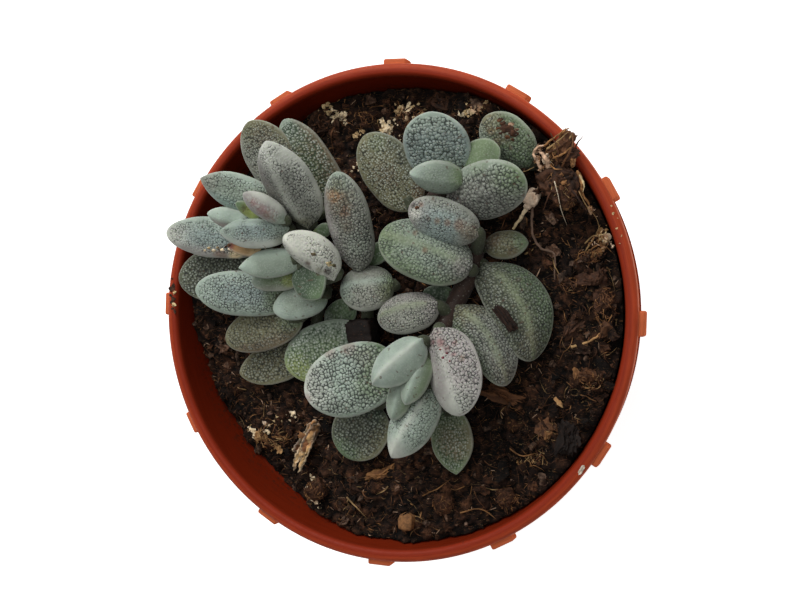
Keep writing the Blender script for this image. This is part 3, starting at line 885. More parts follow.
class Nodes:
    """Adds nodes to a tree. Each input is a value, a colour or the output that it is linked to."""

    def __init__(self, tree):
        self.tree = tree

    def feed(self, socket, value):
        """Sets a socket, or links it to an output."""
        if isinstance(value, bpy.types.NodeSocket):
            self.tree.links.new(value, socket)
        elif socket.type == "RGBA":
            socket.default_value = (*value, 1.0)
        else:
            socket.default_value = value

    def add(self, kind, settings=None, **inputs):
        """A node with its settings and inputs."""
        node = self.tree.nodes.new(kind)
        for key, value in (settings or {}).items():
            setattr(node, key, value)
        for key, value in inputs.items():
            self.feed(node.inputs[key.replace("_", " ")], value)
        return node

    def compute(self, operation, *values):
        """The result of a sum on values or outputs."""
        node = self.add("ShaderNodeMath", {"operation": operation})
        for socket, value in zip(node.inputs, values):
            self.feed(socket, value)
        return node.outputs[0]

    def times(self, first, *others):
        """The product of values or outputs."""
        for other in others:
            first = self.compute("MULTIPLY", first, other)
        return first

    def plus(self, first, second):
        """The sum of two values or outputs."""
        return self.compute("ADD", first, second)

    def ease(self, value, low, high, bottom=0.0, top=1.0):
        """A value spread smoothly from bottom at low to top at high."""
        return self.add("ShaderNodeMapRange", {"interpolation_type": "SMOOTHSTEP"}, Value=value, From_Min=low,
                        From_Max=high, To_Min=bottom, To_Max=top).outputs["Result"]

    def mix(self, share, first, second, how="MIX"):
        """Two colours mixed by a share."""
        node = self.add("ShaderNodeMix", {"data_type": "RGBA", "blend_type": how})
        for index, value in ((0, share), (6, first), (7, second)):
            self.feed(node.inputs[index], value)
        return node.outputs[2]

    def shaded(self, colour, shade):
        """A colour made darker or brighter by a factor."""
        gray = self.add("ShaderNodeCombineColor", Red=shade, Green=shade, Blue=shade).outputs[0]
        return self.mix(1.0, colour, gray, "MULTIPLY")

    def noise(self, place, scale, detail=3.0, roughness=0.55):
        """Noise of 0 to 1 with a number of waves a metre."""
        return self.add("ShaderNodeTexNoise", Vector=place, Scale=scale, Detail=detail,
                        Roughness=roughness).outputs[0]

    def pushed(self, place, scale, reach):
        """A place pushed about by noise."""
        push = self.add("ShaderNodeTexNoise", Vector=place, Scale=scale, Detail=1.0).outputs["Color"]
        node = self.add("ShaderNodeVectorMath", {"operation": "MULTIPLY_ADD"})
        for socket, value in zip(node.inputs, (push, reach, place)):
            self.feed(socket, value)
        return node.outputs[0]

    def cells(self, place, feature):
        """The pattern of the beads, each in a cell of its own."""
        return self.add("ShaderNodeTexVoronoi", {"voronoi_dimensions": "2D", "feature": feature},
                        Vector=place, Scale=1.0, Randomness=0.95)

    def bead_place(self, skin):
        """The place in the pattern of the beads, pushed about so that no two of them are alike."""
        return self.pushed(skin, 0.5, (0.7, 0.7, 0.0))


class Finish(Nodes):
    """The nodes of a material, with its shader and the place on the model at hand."""

    def __init__(self, name, **inputs):
        self.material = bpy.data.materials.new(name)
        self.material.use_nodes = True
        super().__init__(self.material.node_tree)
        self.shader = self.tree.nodes["Principled BSDF"]
        self.wear(**inputs)
        self.place = self.add("ShaderNodeTexCoord").outputs["Object"]

    def wear(self, **inputs):
        """Sets or links inputs of the shader."""
        for key, value in inputs.items():
            self.feed(self.shader.inputs[key.replace("_", " ")], value)
        return self.material

    def relief(self, height, depth, strength=1.0):
        """A surface with relief of a depth in mm."""
        return self.add("ShaderNodeBump", Height=height, Strength=strength, Distance=depth * MM).outputs[0]

    def carried(self, name, output="Color"):
        """What the mesh's points carry under a name."""
        return self.add("ShaderNodeAttribute", {"attribute_name": name}).outputs[output]


def raise_beads(thing):
    """Lifts a low bead of skin at the middle of each cell of the leaf's pattern."""
    tree = bpy.data.node_groups.new("beads", "GeometryNodeTree")
    for way in ("INPUT", "OUTPUT"):
        tree.interface.new_socket("Geometry", in_out=way, socket_type="NodeSocketGeometry")
    nodes = Nodes(tree)
    skin = nodes.add("GeometryNodeInputNamedAttribute", {"data_type": "FLOAT_VECTOR"}, Name="skin").outputs[0]
    net = nodes.add("GeometryNodeInputNamedAttribute", {"data_type": "FLOAT"}, Name="net").outputs[0]
    bead = nodes.ease(nodes.cells(nodes.bead_place(skin), "F1").outputs["Distance"], 0.5, 0.1)
    offset = nodes.add("ShaderNodeVectorMath", {"operation": "SCALE"},
                       Vector=nodes.add("GeometryNodeInputNormal").outputs[0],
                       Scale=nodes.times(bead, net, BEAD_RISE * MM)).outputs[0]
    start, stop = nodes.add("NodeGroupInput"), nodes.add("NodeGroupOutput")
    moved = nodes.add("GeometryNodeSetPosition", Geometry=start.outputs[0], Offset=offset)
    tree.links.new(moved.outputs[0], stop.inputs[0])
    thing.modifiers.new("beads", "NODES").node_group = tree
    apply_modifiers(thing)


def leaf_finish():
    """Waxy leaf skin: pale beads with broken dark gaps between them, dust and small scars."""
    look = Finish("leaf_skin", Specular_IOR_Level=0.3, Subsurface_Weight=0.08, Subsurface_Scale=0.001,
                  Subsurface_Radius=(0.6, 1.0, 0.4), Sheen_Weight=0.1, Sheen_Roughness=0.6)
    ease, times, plus, mix = look.ease, look.times, look.plus, look.mix
    skin = look.bead_place(look.carried("skin", "Vector"))
    net, crown = look.carried("net", "Fac"), look.carried("crown", "Fac")
    fine = look.noise(look.place, 1500.0, 2.0)
    dust = look.noise(look.place, 3600.0, 2.0)
    edge = look.cells(skin, "DISTANCE_TO_EDGE").outputs["Distance"]
    cell = look.cells(skin, "F1")
    apart = cell.outputs["Distance"]
    chance = look.add("ShaderNodeSeparateColor", Color=cell.outputs["Color"]).outputs[0]

    width = times(ease(fine, 0.3, 0.7, 0.35, 1.5), ease(net, 0.0, 1.0, 0.06, 0.17))
    line = ease(edge, times(width, 0.4), times(width, 1.25), 1.0, 0.0)
    full = plus(times(net, 0.3), times(look.noise(skin, 0.2, 1.0), 0.35))
    line = times(line, ease(plus(look.noise(skin, 1.1, 1.0), full), 0.78, 0.92))
    pits = times(ease(apart, 0.54, 0.68), ease(plus(fine, full), 0.7, 0.84),
                 ease(crown, 0.15, 0.6, 0.35, 1.0))
    dark = times(look.compute("MAXIMUM", line, pits), ease(net, 0.05, 0.4))
    bead = ease(apart, 0.5, 0.1)
    bright = times(bead, crown, ease(chance, 0.0, 1.0, 0.3, 1.3))
    scars = ease(look.noise(look.place, 1150.0, 1.0), 0.69, 0.74)
    colour = mix(times(dark, 0.95), look.carried("tone"), look.carried("deep"))
    colour = mix(bright, colour, BEAD_LIGHT)
    colour = mix(times(ease(dust, 0.62, 0.72), 0.3), colour, DUST_LIGHT)
    colour = mix(times(scars, 0.55), colour, TONE["brown"])
    colour = look.shaded(colour, ease(look.noise(look.place, 420.0, 2.0), 0.25, 0.75, 0.84, 1.14))
    height = look.compute("SUBTRACT", times(bead, plus(net, 0.12)), times(dark, 0.6))
    return look.wear(Base_Color=colour, Roughness=ease(fine, 0.2, 0.8, 0.5, 0.7),
                     Normal=look.relief(plus(height, times(dust, 0.25)), 0.1, 0.8))


def litter_finish(name, roughness, waves, depth, contrast):
    """Bark, roots and fibres: their own tone, broken up by fibre and grain."""
    look = Finish(name, Specular_IOR_Level=0.25)
    coarse = look.noise(look.place, waves * 0.3, 4.0, 0.6)
    fine = look.noise(look.place, waves, 5.0, 0.65)
    broad = contrast * 0.6
    shade = look.times(look.ease(fine, 0.25, 0.75, 1.0 - contrast, 1.0 + contrast),
                       look.ease(coarse, 0.3, 0.7, 1.0 - broad, 1.0 + broad))
    flecks = look.ease(look.noise(look.place, waves * 1.6, 1.0), 0.68, 0.75)
    colour = look.mix(look.times(flecks, 0.5), look.shaded(look.carried("tone"), shade), TONE["rust"])
    return look.wear(Base_Color=colour, Normal=look.relief(fine, depth),
                     Roughness=look.ease(fine, 0.3, 0.7, roughness - 0.15, min(roughness + 0.08, 1.0)))


def peat_finish():
    """Peat: dark crumbs with short pale fibres that lie all ways."""
    look = Finish("peat_surface", Specular_IOR_Level=0.2)
    ease, times = look.ease, look.times
    broad = look.noise(look.place, 190.0, 2.0)
    coarse = look.noise(look.place, 640.0, 4.0, 0.65)
    fine = look.noise(look.place, 2800.0, 5.0, 0.7)
    shade = times(ease(fine, 0.28, 0.72, 0.35, 1.8), ease(coarse, 0.3, 0.7, 0.4, 1.6),
                  ease(broad, 0.35, 0.65, 0.6, 1.35))
    colour = look.shaded(look.carried("tone"), shade)
    height = look.plus(fine, times(coarse, 0.8))
    for turn, level, name, strength in PEAT_HAIRS:
        bent = look.pushed(look.place, 330.0 + turn, (0.0022, 0.0022, 0.0022))
        lie = look.add("ShaderNodeMapping", Vector=bent, Rotation=(0.3, 0.2, math.radians(turn)),
                       Scale=(520.0, 4300.0, 2600.0)).outputs[0]
        spread = ease(look.noise(look.place, 240.0 + 2 * turn, 1.0), 0.42, 0.62)
        hair = times(ease(look.noise(lie, 1.0, 1.0), level, level + 0.07), spread)
        colour = look.mix(times(hair, strength), colour, TONE[name])
        height = look.plus(height, times(hair, 0.5))
    return look.wear(Base_Color=colour, Roughness=ease(fine, 0.3, 0.7, 0.8, 1.0),
                     Normal=look.relief(height, 0.35))


def pot_finish():
    """Terracotta-coloured plastic with fine lines round the rim, scuffs and a little soil dust."""
    look = Finish("pot_plastic")
    ease, times, plus, mix = look.ease, look.times, look.plus, look.mix
    x, y, z = look.add("ShaderNodeSeparateXYZ", Vector=look.place).outputs
    radius = look.compute("SQRT", plus(times(x, x), times(y, y)))

    def band(value, low, high, bottom=0.0, top=1.0):
        """An ease between two radii or heights in mm."""
        return ease(value, low * MM, high * MM, bottom, top)

    turn = look.add("ShaderNodeCombineXYZ", X=times(look.compute("DIVIDE", x, radius), 9.0),
                    Y=times(look.compute("DIVIDE", y, radius), 9.0),
                    Z=times(plus(radius, z), 9000.0)).outputs[0]
    streak = look.noise(turn, 1.0)
    fine = look.noise(look.place, 1400.0, 4.0)
    rim = mix(band(radius, 41.2, 41.8), TONE["rim"], TONE["rim_edge"])
    lug = times(band(radius, 42.3, 42.5), band(z, 70.0, 71.0))
    above, below = band(z, 65.2, 66.2), band(z, 66.2, 65.2)
    dirt = times(band(z, 72.5, 66.0), above, band(radius, 41.2, 40.4), ease(fine, 0.5, 0.66))
    specks = ease(look.noise(look.place, 900.0, 1.0), 0.76, 0.79, 0.0, 0.25)
    colour = mix(look.noise(look.place, 60.0), TONE["clay_dark"], TONE["clay"])
    colour = mix(band(z, 74.1, 74.7), colour, rim)
    colour = mix(lug, colour, TONE["lug"])
    colour = look.shaded(colour, ease(streak, 0.35, 0.65, 0.88, 1.1))
    colour = mix(below, colour, TONE["wall"])
    colour = mix(times(dirt, 0.7), colour, TONE["umber"])
    colour = mix(specks, colour, TONE["umber"])
    gloss = plus(band(z, 73.5, 74.7, 0.0, 0.16), band(z, 66.2, 65.2, 0.0, 0.1))
    height = plus(times(streak, 0.6), times(fine, 0.4))
    return look.wear(Base_Color=colour, Roughness=ease(fine, 0.3, 0.7, 0.48, 0.64), Specular_IOR_Level=gloss,
                     Normal=look.relief(height, 0.03, 0.6))


def floor_finish():
    """A smooth pale board."""
    look = Finish("pale_board", Roughness=0.8, Emission_Color=(1, 1, 1), Emission_Strength=0.8)
    cloud = look.noise(look.place, 6.0, 2.0)
    return look.wear(Base_Color=look.mix(cloud, (0.86, 0.86, 0.855), (0.9, 0.9, 0.9)))


def wall_inside(height):
    """The pot's inner radius at a height, mm."""
    step_radius = RIM_RADIUS - COLLAR_STEP - 2 * WALL
    if height > COLLAR_BOTTOM:
        return step_radius + (RIM_INSIDE - step_radius) * (height - COLLAR_BOTTOM) / COLLAR_DEPTH
    rise = (height - CHANNEL_RISE) / (COLLAR_BOTTOM - CHANNEL_RISE)
    return FOOT_RADIUS - WALL + (step_radius - FOOT_RADIUS + WALL) * rise


def turned(profile, steps):
    """Points and faces of a profile of radius and height turned round Z; it starts and ends on the axis."""
    angles = 2 * math.pi * np.arange(steps) / steps
    points = [(0.0, 0.0, profile[0][1])]
    for radius, height in profile[1:-1]:
        points += [(radius * math.cos(angle), radius * math.sin(angle), height) for angle in angles]
    points.append((0.0, 0.0, profile[-1][1]))
    return points, shell_faces(len(profile) - 2, steps)


def rounded(corner, before, after, size, steps):
    """An arc in place of a profile's corner."""
    corner, before, after = Vector(corner), Vector(before), Vector(after)
    start = corner + (before - corner).normalized() * size
    stop = corner + (after - corner).normalized() * size
    shares = [step / steps for step in range(steps + 1)]
    return [tuple(start * (1 - t) ** 2 + corner * 2 * t * (1 - t) + stop * t ** 2) for t in shares]


def pot_profile():
    """The pot's section, from the middle of its floor up inside, over the rim and down outside."""
    inner_step = wall_inside(COLLAR_BOTTOM)
    outer_step = inner_step + WALL
    channel_inner = BOSS_RADIUS + CHANNEL_RISE
    channel_outer = FOOT_RADIUS - FOOT_RING - CHANNEL_RISE
    rim = [(RIM_INSIDE - 0.15, 1.6), (RIM_INSIDE, 0.7), (RIM_INSIDE + 0.35, 0.15), (RIM_INSIDE + 0.85, 0.0),
           (RIM_RADIUS - 0.6, 0.1), (RIM_RADIUS - 0.1, 0.5), (RIM_RADIUS, 1.1), (RIM_RADIUS - 0.1, 2.2)]
    rim = smooth_run([(radius, RIM_TOP - depth, 0) for radius, depth in rim], 4)
    rim = [(point.x, point.y) for point in rim]
    edge, under_edge = (RIM_RADIUS - 0.6, COLLAR_BOTTOM + 0.6), (RIM_RADIUS - 0.9, COLLAR_BOTTOM)
    profile = [(0, FLOOR), (BOSS_RADIUS - 0.6, FLOOR), (channel_inner - 0.6, FLOOR + CHANNEL_RISE),
               (channel_outer + 0.6, FLOOR + CHANNEL_RISE), (FOOT_RADIUS - FOOT_RING, FLOOR + 0.2),
               (FOOT_RADIUS - WALL, CHANNEL_RISE + 0.4), (inner_step, COLLAR_BOTTOM)]
    profile += rim
    profile += rounded(edge, rim[-1], under_edge, 0.5, 4)
    profile += rounded(under_edge, edge, (outer_step, COLLAR_BOTTOM - 0.7), 0.25, 3)
    profile += [(outer_step + 0.15, COLLAR_BOTTOM - 0.62), (outer_step, COLLAR_BOTTOM - 0.8)]
    profile += rounded((FOOT_RADIUS, 0.0), (FOOT_RADIUS + 0.1, 3.0), (FOOT_RADIUS - 2, 0.0), 1.0, 6)
    return profile + [(FOOT_RADIUS - FOOT_RING, 0), (channel_outer, CHANNEL_RISE),
                      (channel_inner, CHANNEL_RISE), (BOSS_RADIUS, 0), (0, 0)]


def as_tool(shape):
    """A bmesh as an object for cutting or joining."""
    bmesh.ops.recalc_face_normals(shape, faces=shape.faces)
    mesh = bpy.data.meshes.new("tool")
    shape.to_mesh(mesh)
    shape.free()
    return placed("tool", mesh)


def make_lug(index):
    """A lug of the rim, as a tool."""
    lug = bmesh.new()
    bmesh.ops.create_cube(lug, size=1)
    depth = LUG_PROUD + RIM_WIDTH * 0.5
    bmesh.ops.scale(lug, vec=Vector((depth, LUG_WIDTH, LUG_HEIGHT)) * MM, verts=lug.verts)
    bmesh.ops.bevel(lug, geom=lug.edges, offset=LUG_ROUND * MM, segments=4, profile=0.5, affect="EDGES")
    place = Vector((RIM_RADIUS + LUG_PROUD - depth / 2, 0, RIM_TOP - LUG_BELOW_RIM - LUG_HEIGHT / 2))
    bmesh.ops.translate(lug, vec=place * MM, verts=lug.verts)
    turn = Matrix.Rotation(math.radians(LUG_FIRST + index * 360 / LUGS), 4, "Z")
    bmesh.ops.transform(lug, matrix=turn, verts=lug.verts)
    return as_tool(lug)


def make_drain(index):
    """A drain hole, as a tool."""
    hole = bmesh.new()
    bmesh.ops.create_cone(hole, cap_ends=True, segments=40, radius1=DRAIN_RADIUS * MM,
                          radius2=DRAIN_RADIUS * MM, depth=10 * MM)
    angle = 2 * math.pi * (index + 0.5) / DRAIN_HOLES
    place = Vector((math.cos(angle), math.sin(angle), 0)) * DRAIN_CIRCLE * MM
    bmesh.ops.translate(hole, vec=place, verts=hole.verts)
    return as_tool(hole)


def build_pot(finish):
    """The turned pot with its rolled rim, its collar, a recessed base with drain holes, and lugs."""
    sheaf = Sheaf()
    sheaf.add(*turned(pot_profile(), POT_STEPS))
    pot = sheaf.build("pot_shell", finish)
    for operation, make, amount in (("UNION", make_lug, LUGS), ("DIFFERENCE", make_drain, DRAIN_HOLES)):
        tools = [make(index) for index in range(amount)]
        for tool in tools:
            modifier = pot.modifiers.new(operation, "BOOLEAN")
            modifier.operation = operation
            modifier.solver = "MANIFOLD"
            modifier.object = tool
        apply_modifiers(pot)
        for tool in tools:
            bpy.data.objects.remove(tool, do_unlink=True)
    pot.data.materials.clear()
    pot.data.materials.append(finish)
    pot.data.shade_smooth()
    pot.data.set_sharp_from_angle(angle=math.radians(POT_SHARP))
    return pot


def soil_edge_depth(azimuth):
    """How far the peat lies below the rim at the wall, mm."""
    degrees = math.degrees(azimuth) % 360
    for (start, first), (stop, second) in zip(SOIL_EDGE, SOIL_EDGE[1:]):
        if start <= degrees <= stop:
            return first + (second - first) * smooth_step(start, stop, degrees)
    return SOIL_EDGE[0][1]


def soil_height(x, y):
    """The peat's open surface, mm."""
    near_wall = min(math.hypot(x, y) / RIM_INSIDE, 1.0) ** 3
    edge = RIM_TOP - soil_edge_depth(math.atan2(y, x))
    height = (SOIL_MIDDLE + SOIL_SLOPE_X * x) * (1 - near_wall) + edge * near_wall
    height += SOIL_LUMP * noise.noise(Vector((x, y, 3.0)) / 7.0)
    return height + SOIL_CRUMB * noise.noise(Vector((x, y, 9.0)) / 2.6)


def soil_grain(x, y):
    """The lumps and grains of the peat's surface, mm."""
    spot = Vector((x, y, 0.0))
    warp = noise.noise_vector(spot / 1.7) * 0.5
    lump = noise.voronoi((spot + warp) / 2.4)[0]
    grain = noise.voronoi((spot + warp) / 0.95)[0]
    height = 2.1 * min(0.34, lump[1] - lump[0]) + 0.9 * min(0.3, grain[1] - grain[0])
    return height + 0.5 * noise.noise(spot / 0.7 + Vector((0, 0, 4.0))) - 0.6


def soil_tone(x, y, grain):
    """The peat's tone at a spot: black in its gaps, darker at the right and the left."""
    high = smooth_step(-0.45, 0.5, grain)
    mottle = smooth_step(-0.1, 0.35, noise.noise(Vector((x, y, 20.0)) / 3.1))
    warm = TONE["umber"] * 0.9 * (1 - mottle) + TONE["brown"] * 0.85 * mottle
    shade = (1 - 0.35 * smooth_step(14, 38, x - 0.35 * y)) * (1 - 0.3 * smooth_step(20, 32, -x - 0.2 * y))
    return (TONE["black"] * 0.55 * (1 - high) + warm * high) * shade


def build_soil(cover):
    """The peat, a plug whose top is uneven and dips under the leaves that lie on it."""
    outer = wall_inside(RIM_TOP - 8)
    profile = [(0.0, RIM_TOP)] + [(outer * (ring + 1) / SOIL_RINGS, RIM_TOP) for ring in range(SOIL_RINGS)]
    profile += [(wall_inside(height) - GAP, height) for height in (60.0, 32.0, SOIL_BOTTOM)]
    points, faces = turned(profile + [(0.0, SOIL_BOTTOM)], SOIL_STEPS)
    points = np.array(points)
    top_count = 1 + SOIL_RINGS * SOIL_STEPS
    tones = np.repeat(TONE["peat"][None, :], len(points), axis=0)
    for index in range(top_count):
        x, y = points[index][:2]
        grain = soil_grain(x, y)
        height = soil_height(x, y) + grain
        for dx, dy in ((0, 0), (0.7, 0), (-0.7, 0), (0, 0.7), (0, -0.7)):
            hit = cover.ray_cast(Vector((x + dx, y + dy, UNDER)), UP, 60)[0]
            if hit is not None:
                height = min(height, hit.z - 0.15)
        if index >= top_count - SOIL_STEPS:
            points[index][:2] *= (wall_inside(height) - GAP) / outer
        points[index][2] = height
        tones[index] = soil_tone(x, y, grain)
    sheaf = Sheaf()
    sheaf.add(points, [tuple(reversed(face)) for face in faces], tones)
    return sheaf


def dropped(tree, x, y):
    """Where a surface is first met from above, or None."""
    return tree.ray_cast(Vector((x, y, ABOVE)), DOWN)[0]


class Ground:
    """Finds what lies on top at a spot, and what covers it. Heights are in mm."""

    def __init__(self, soil, litter, cover):
        self.soil = soil
        self.litter = litter
        self.cover = cover

    def height(self, x, y, on_litter=True):
        """The top of the peat, or of the litter that lies on it, or None outside the pot."""
        found = [dropped(tree, x, y) for tree in ((self.soil, self.litter) if on_litter else (self.soil,))]
        return max((place.z for place in found if place is not None), default=None)

    def room(self, x, y, height):
        """How far above a height the next leaf is, mm."""
        hit = self.cover.ray_cast(Vector((x, y, height - 1.0)), UP)[0]
        return ABOVE if hit is None else hit.z - height


def ball(detail):
    """The unit icosphere's points and faces."""
    shape = bmesh.new()
    bmesh.ops.create_icosphere(shape, subdivisions=detail, radius=1)
    points = np.array([corner.co[:] for corner in shape.verts])
    faces = [tuple(corner.index for corner in face.verts) for face in shape.faces]
    shape.free()
    return points, faces


BALLS = {detail: ball(detail) for detail in (1, 2, 3, 4, 5)}


def about_z(degrees):
    """A turn about Z."""
    return np.array(Matrix.Rotation(math.radians(degrees), 3, "Z"))


def chunk(sheaf, place, half, turn, tilt, seed, detail, tones, grain, roundness, rough):
    """A broken lump: a ball pressed towards a block, with fibre lines along its length."""
    points, faces = BALLS[detail]
    shape = points / np.max(np.abs(points), axis=1)[:, None]
    shape = shape * (0.9 - 0.6 * roundness) + points * (0.1 + 0.6 * roundness)
    out = []
    shades = []
    for index, point in enumerate(points):
        spot = Vector(point)
        push = noise.noise_vector(spot * 0.9 + Vector((seed, seed * 2, seed * 3)))
        fibre = noise.noise(Vector((spot.x * 1.1, spot.y * 5.5, spot.z * 5.5)) + Vector((seed, 0, 0)))
        crack = noise.voronoi(Vector((spot.x * 1.2, spot.y * 2.6, spot.z * 2.6)) + Vector((0, seed, 0)))[0]
        notch = min(0.25, crack[1] - crack[0])
        small = noise.noise(spot * 6.5 + Vector((seed, seed, 0)))
        swell = 1 + rough * (0.5 * fibre * grain + 0.9 * notch - 0.18 + 0.3 * small)
        out.append(tuple((Vector(shape[index]) + push * rough) * swell))
        shades.append(0.5 + 0.9 * fibre * grain + 0.35 * small)
    pose = about_z(turn) @ np.array(Matrix.Rotation(math.radians(tilt), 3, "X"))
    sheaf.add(np.array(out) * np.array(half) @ pose.T + np.array(place), faces, mingled(tones, shades))


def pick(rng, names):
    """One of the names."""
    return names[int(rng.integers(len(names)))]


def spot_within(rng, radius):
    """A spot anywhere in a disc."""
    reach, turn = radius * math.sqrt(rng.uniform()), rng.uniform(0, 2 * math.pi)
    return reach * math.cos(turn), reach * math.sin(turn)


def upward(rng):
    """A direction anywhere above the level."""
    way = rng.normal(size=3)
    way[2] = abs(way[2])
    return way / np.linalg.norm(way)


def tapered(radius, amount, tip, foot=1.0):
    """Radii that narrow to a tip."""
    return [radius * (foot + (tip - foot) * (step / (amount - 1)) ** 1.4) for step in range(amount)]


def knotted(points, between, radius, seed, tip, foot=1.0):
    """A line with small kinks, and radii with small knots that narrow to its tip."""
    line = []
    radii = []
    for point in smooth_run(points, between):
        push = noise.noise_vector(point * 1.3 + Vector((seed, 0, 0)))
        line.append(point + push * radius * 0.5)
        radii.append(radius * (0.85 + 0.35 * noise.noise(point * 1.9 + Vector((0, seed, 0)))))
    return line, [width * share for width, share in zip(radii, tapered(1.0, len(line), tip, foot))]


def build_lump(name):
    """One piece of bark or lump of peat in place of its plain solid."""
    sheaf = Sheaf()
    lump = LUMPS[name]
    chunk(sheaf, lump.place, lump.half, lump.turn, lump.tilt, lump.seed, 4, lump.tones, lump.grain,
          lump.roundness, lump.rough)
    return sheaf


def build_withered_leaf():
    """A dried leaf, shrunk and torn into curled strips with bright edges."""
    run, _, left, upper = leaf_axes(WITHERED_LEAF)
    foot, tip = Vector(WITHERED_LEAF.foot), Vector(WITHERED_LEAF.tip)
    sheaf = Sheaf()
    for number, (side, first, last, width, roll, tone) in enumerate(STRIPS):
        shift = left * side * 1.5 + upper * (0.35 + 0.16 * number % 0.5)
        strip = Leaf("strip", foot.lerp(tip, first) + shift, foot.lerp(tip, last) + shift * 1.25, width, 0.5,
                     roll, 0.2 - 0.2 * (number % 3), 0.3 * (-1) ** number, 0.5, 0.9, 0.2)
        skin = Skin("tan", tone, tone, net=0.0, crown=0.0)
        points, faces, colour = leaf_mesh(strip, skin, 301 + number)[:3]
        out = []
        shades = []
        for point in points:
            spot = Vector(point) - foot
            along, across = spot.dot(run), spot.dot(left)
            fold = noise.noise(Vector((along * 0.5, across * 2.4, 7.0 + number)))
            fold += 0.5 * noise.noise(Vector((along * 1.4, across * 4.5, 2.0)))
            tear = noise.noise(Vector((along * 1.7, number * 3.0, 5.0)))
            out.append(tuple(Vector(point) + upper * 0.4 * fold + left * 0.35 * tear))
            shades.append(0.72 + 1.5 * fold)
        sheaf.add(out, faces, colour * np.clip(shades, 0.18, 1.6)[:, None] * 1.25)
    return sheaf


def build_root(name, soil):
    """A root that rests on the peat, thin at its end; the pale root has its bulb too."""
    points, radius, foot, tip, tones = ROOTS[name]
    line, radii = knotted(points, 12, radius, len(name), tip, foot)
    for point, width in zip(line, radii):
        point.z = max(point.z, dropped(soil, point.x, point.y).z + 0.3 * width)
    sheaf = Sheaf()
    sheaf.add_rod(line, radii, ROOT_SIDES, mingled(tones, np.linspace(0, 1, len(line))), (0.5, 1.6))
    if name == "pale_root":
        for index, half, turn in BULB:
            chunk(sheaf, line[index] + Vector((0, 0, 0.3)), half, turn, 10, turn, 4, ("shell", "bone"),
                  1.0, 0.95, 0.4)
        chunk(sheaf, line[2] + Vector((0.5, 0.4, 0.6)), (0.8, 0.5, 0.4), 30, 0, 5.5, 3, ("umber", "brown"),
              1.0, 0.8, 0.6)
    return sheaf


def fill_tuft(sheaf, rng, place, half, amount, reach, radius, tones, turn=0.0):
    """Short bent fibres that lie along a lump's upper side and stand out from it."""
    spin = about_z(turn)
    for _ in range(amount):
        way = upward(rng)
        start = spin @ (way * np.array(half) * rng.uniform(0.8, 1.0)) + np.array(place)
        along = np.cross(way, rng.normal(size=3))
        along = along / np.linalg.norm(along) + way * rng.uniform(-0.35, 0.45)
        length = reach * rng.uniform(0.4, 1.3)
        droop = rng.uniform(-0.1, 0.25)
        points = [start + spin @ (along * length * t + way * (0.2 - 4 * droop * t ** 2) * length * 0.4)
                  for t in (-0.5, -0.17, 0.16, 0.5)]
        if max(math.hypot(point[0], point[1]) for point in points) > TUFT_RADIUS:
            continue
        line = smooth_run(points, 2)
        radii = tapered(radius * rng.uniform(0.6, 1.5), len(line), 0.4)
        sheaf.add_rod(line, radii, 4, TONE[pick(rng, tones)] * rng.uniform(0.7, 1.2))


def build_clump(rng):
    """The tangle of peat and roots that stands up at the wall."""
    place, half, turn, seed = CLUMP
    sheaf = Sheaf()
    chunk(sheaf, place, half, turn, 0, seed, 5, ("black", "brown"), 1.0, 0.85, 0.32)
    for number, (points, tone) in enumerate(CLUMP_ROOTS):
        line, radii = knotted(points, 8, 0.3, number, 0.4)
        sheaf.add_rod(line, [0.7 * width for width in radii], 12, TONE[tone])
    for number, (points, radius, tone) in enumerate(TORN_ROOTS):
        line, radii = knotted(points, 7, radius, number + 9, 0.35)
        radii[0] *= 0.4
        sheaf.add_rod(line, radii, 10, TONE[tone], (0.8, 2.1))
    for number, (spot, size, flake_turn, tones) in enumerate(CLUMP_FLAKES):
        chunk(sheaf, spot, (size, size * 0.6, size * 0.4), flake_turn, number * 40 % 70 - 30, number * 5.1,
              3, tones, 1.4, 0.7, 0.7)
    for top, top_half, top_turn, top_seed, tones, rough in CLUMP_TOPS:
        chunk(sheaf, top, top_half, top_turn, 0, top_seed, 4, tones, 1.0, 0.85, rough)
    for tuft in CLUMP_TUFTS:
        fill_tuft(sheaf, rng, *tuft)
    names = ("black", "umber", "umber", "brown", "brown", "rust", "tan")
    for number in range(CLUMP_CHIPS):
        spot = about_z(turn) @ (upward(rng) * np.array(half) * rng.uniform(0.85, 1.05)) + np.array(place)
        size = rng.uniform(0.2, 0.6)
        tones = pick(rng, names), pick(rng, names)
        chunk(sheaf, spot, size * rng.uniform(0.6, 1.3, 3), rng.uniform(0, 360), rng.uniform(-50, 50),
              number * 1.7, 2, tones, 1.0, 0.5, 0.8)
    fill_tuft(sheaf, rng, place, half, 380, 1.6, 0.06,
              ("umber", "brown", "brown", "rust", "rust", "tan", "straw"), turn)
    for spot, size, _, tones in CLUMP_FLAKES:
        fill_tuft(sheaf, rng, spot, (size, size, size * 0.7), 16, 1.0, 0.05,
                  ("umber", "rust", "tan", tones[1]))
    return sheaf


def build_tufts(rng):
    """The tufts of fibre that can be told apart on the peat, and the hairs of the tangle."""
    sheaf = Sheaf()
    for tuft in TUFTS:
        fill_tuft(sheaf, rng, *tuft)
    for points, radius, tone in HAIRS:
        line = smooth_run(points, 5)
        sheaf.add_rod(line, tapered(radius, len(line), 0.4), 6, TONE[tone])
    return sheaf


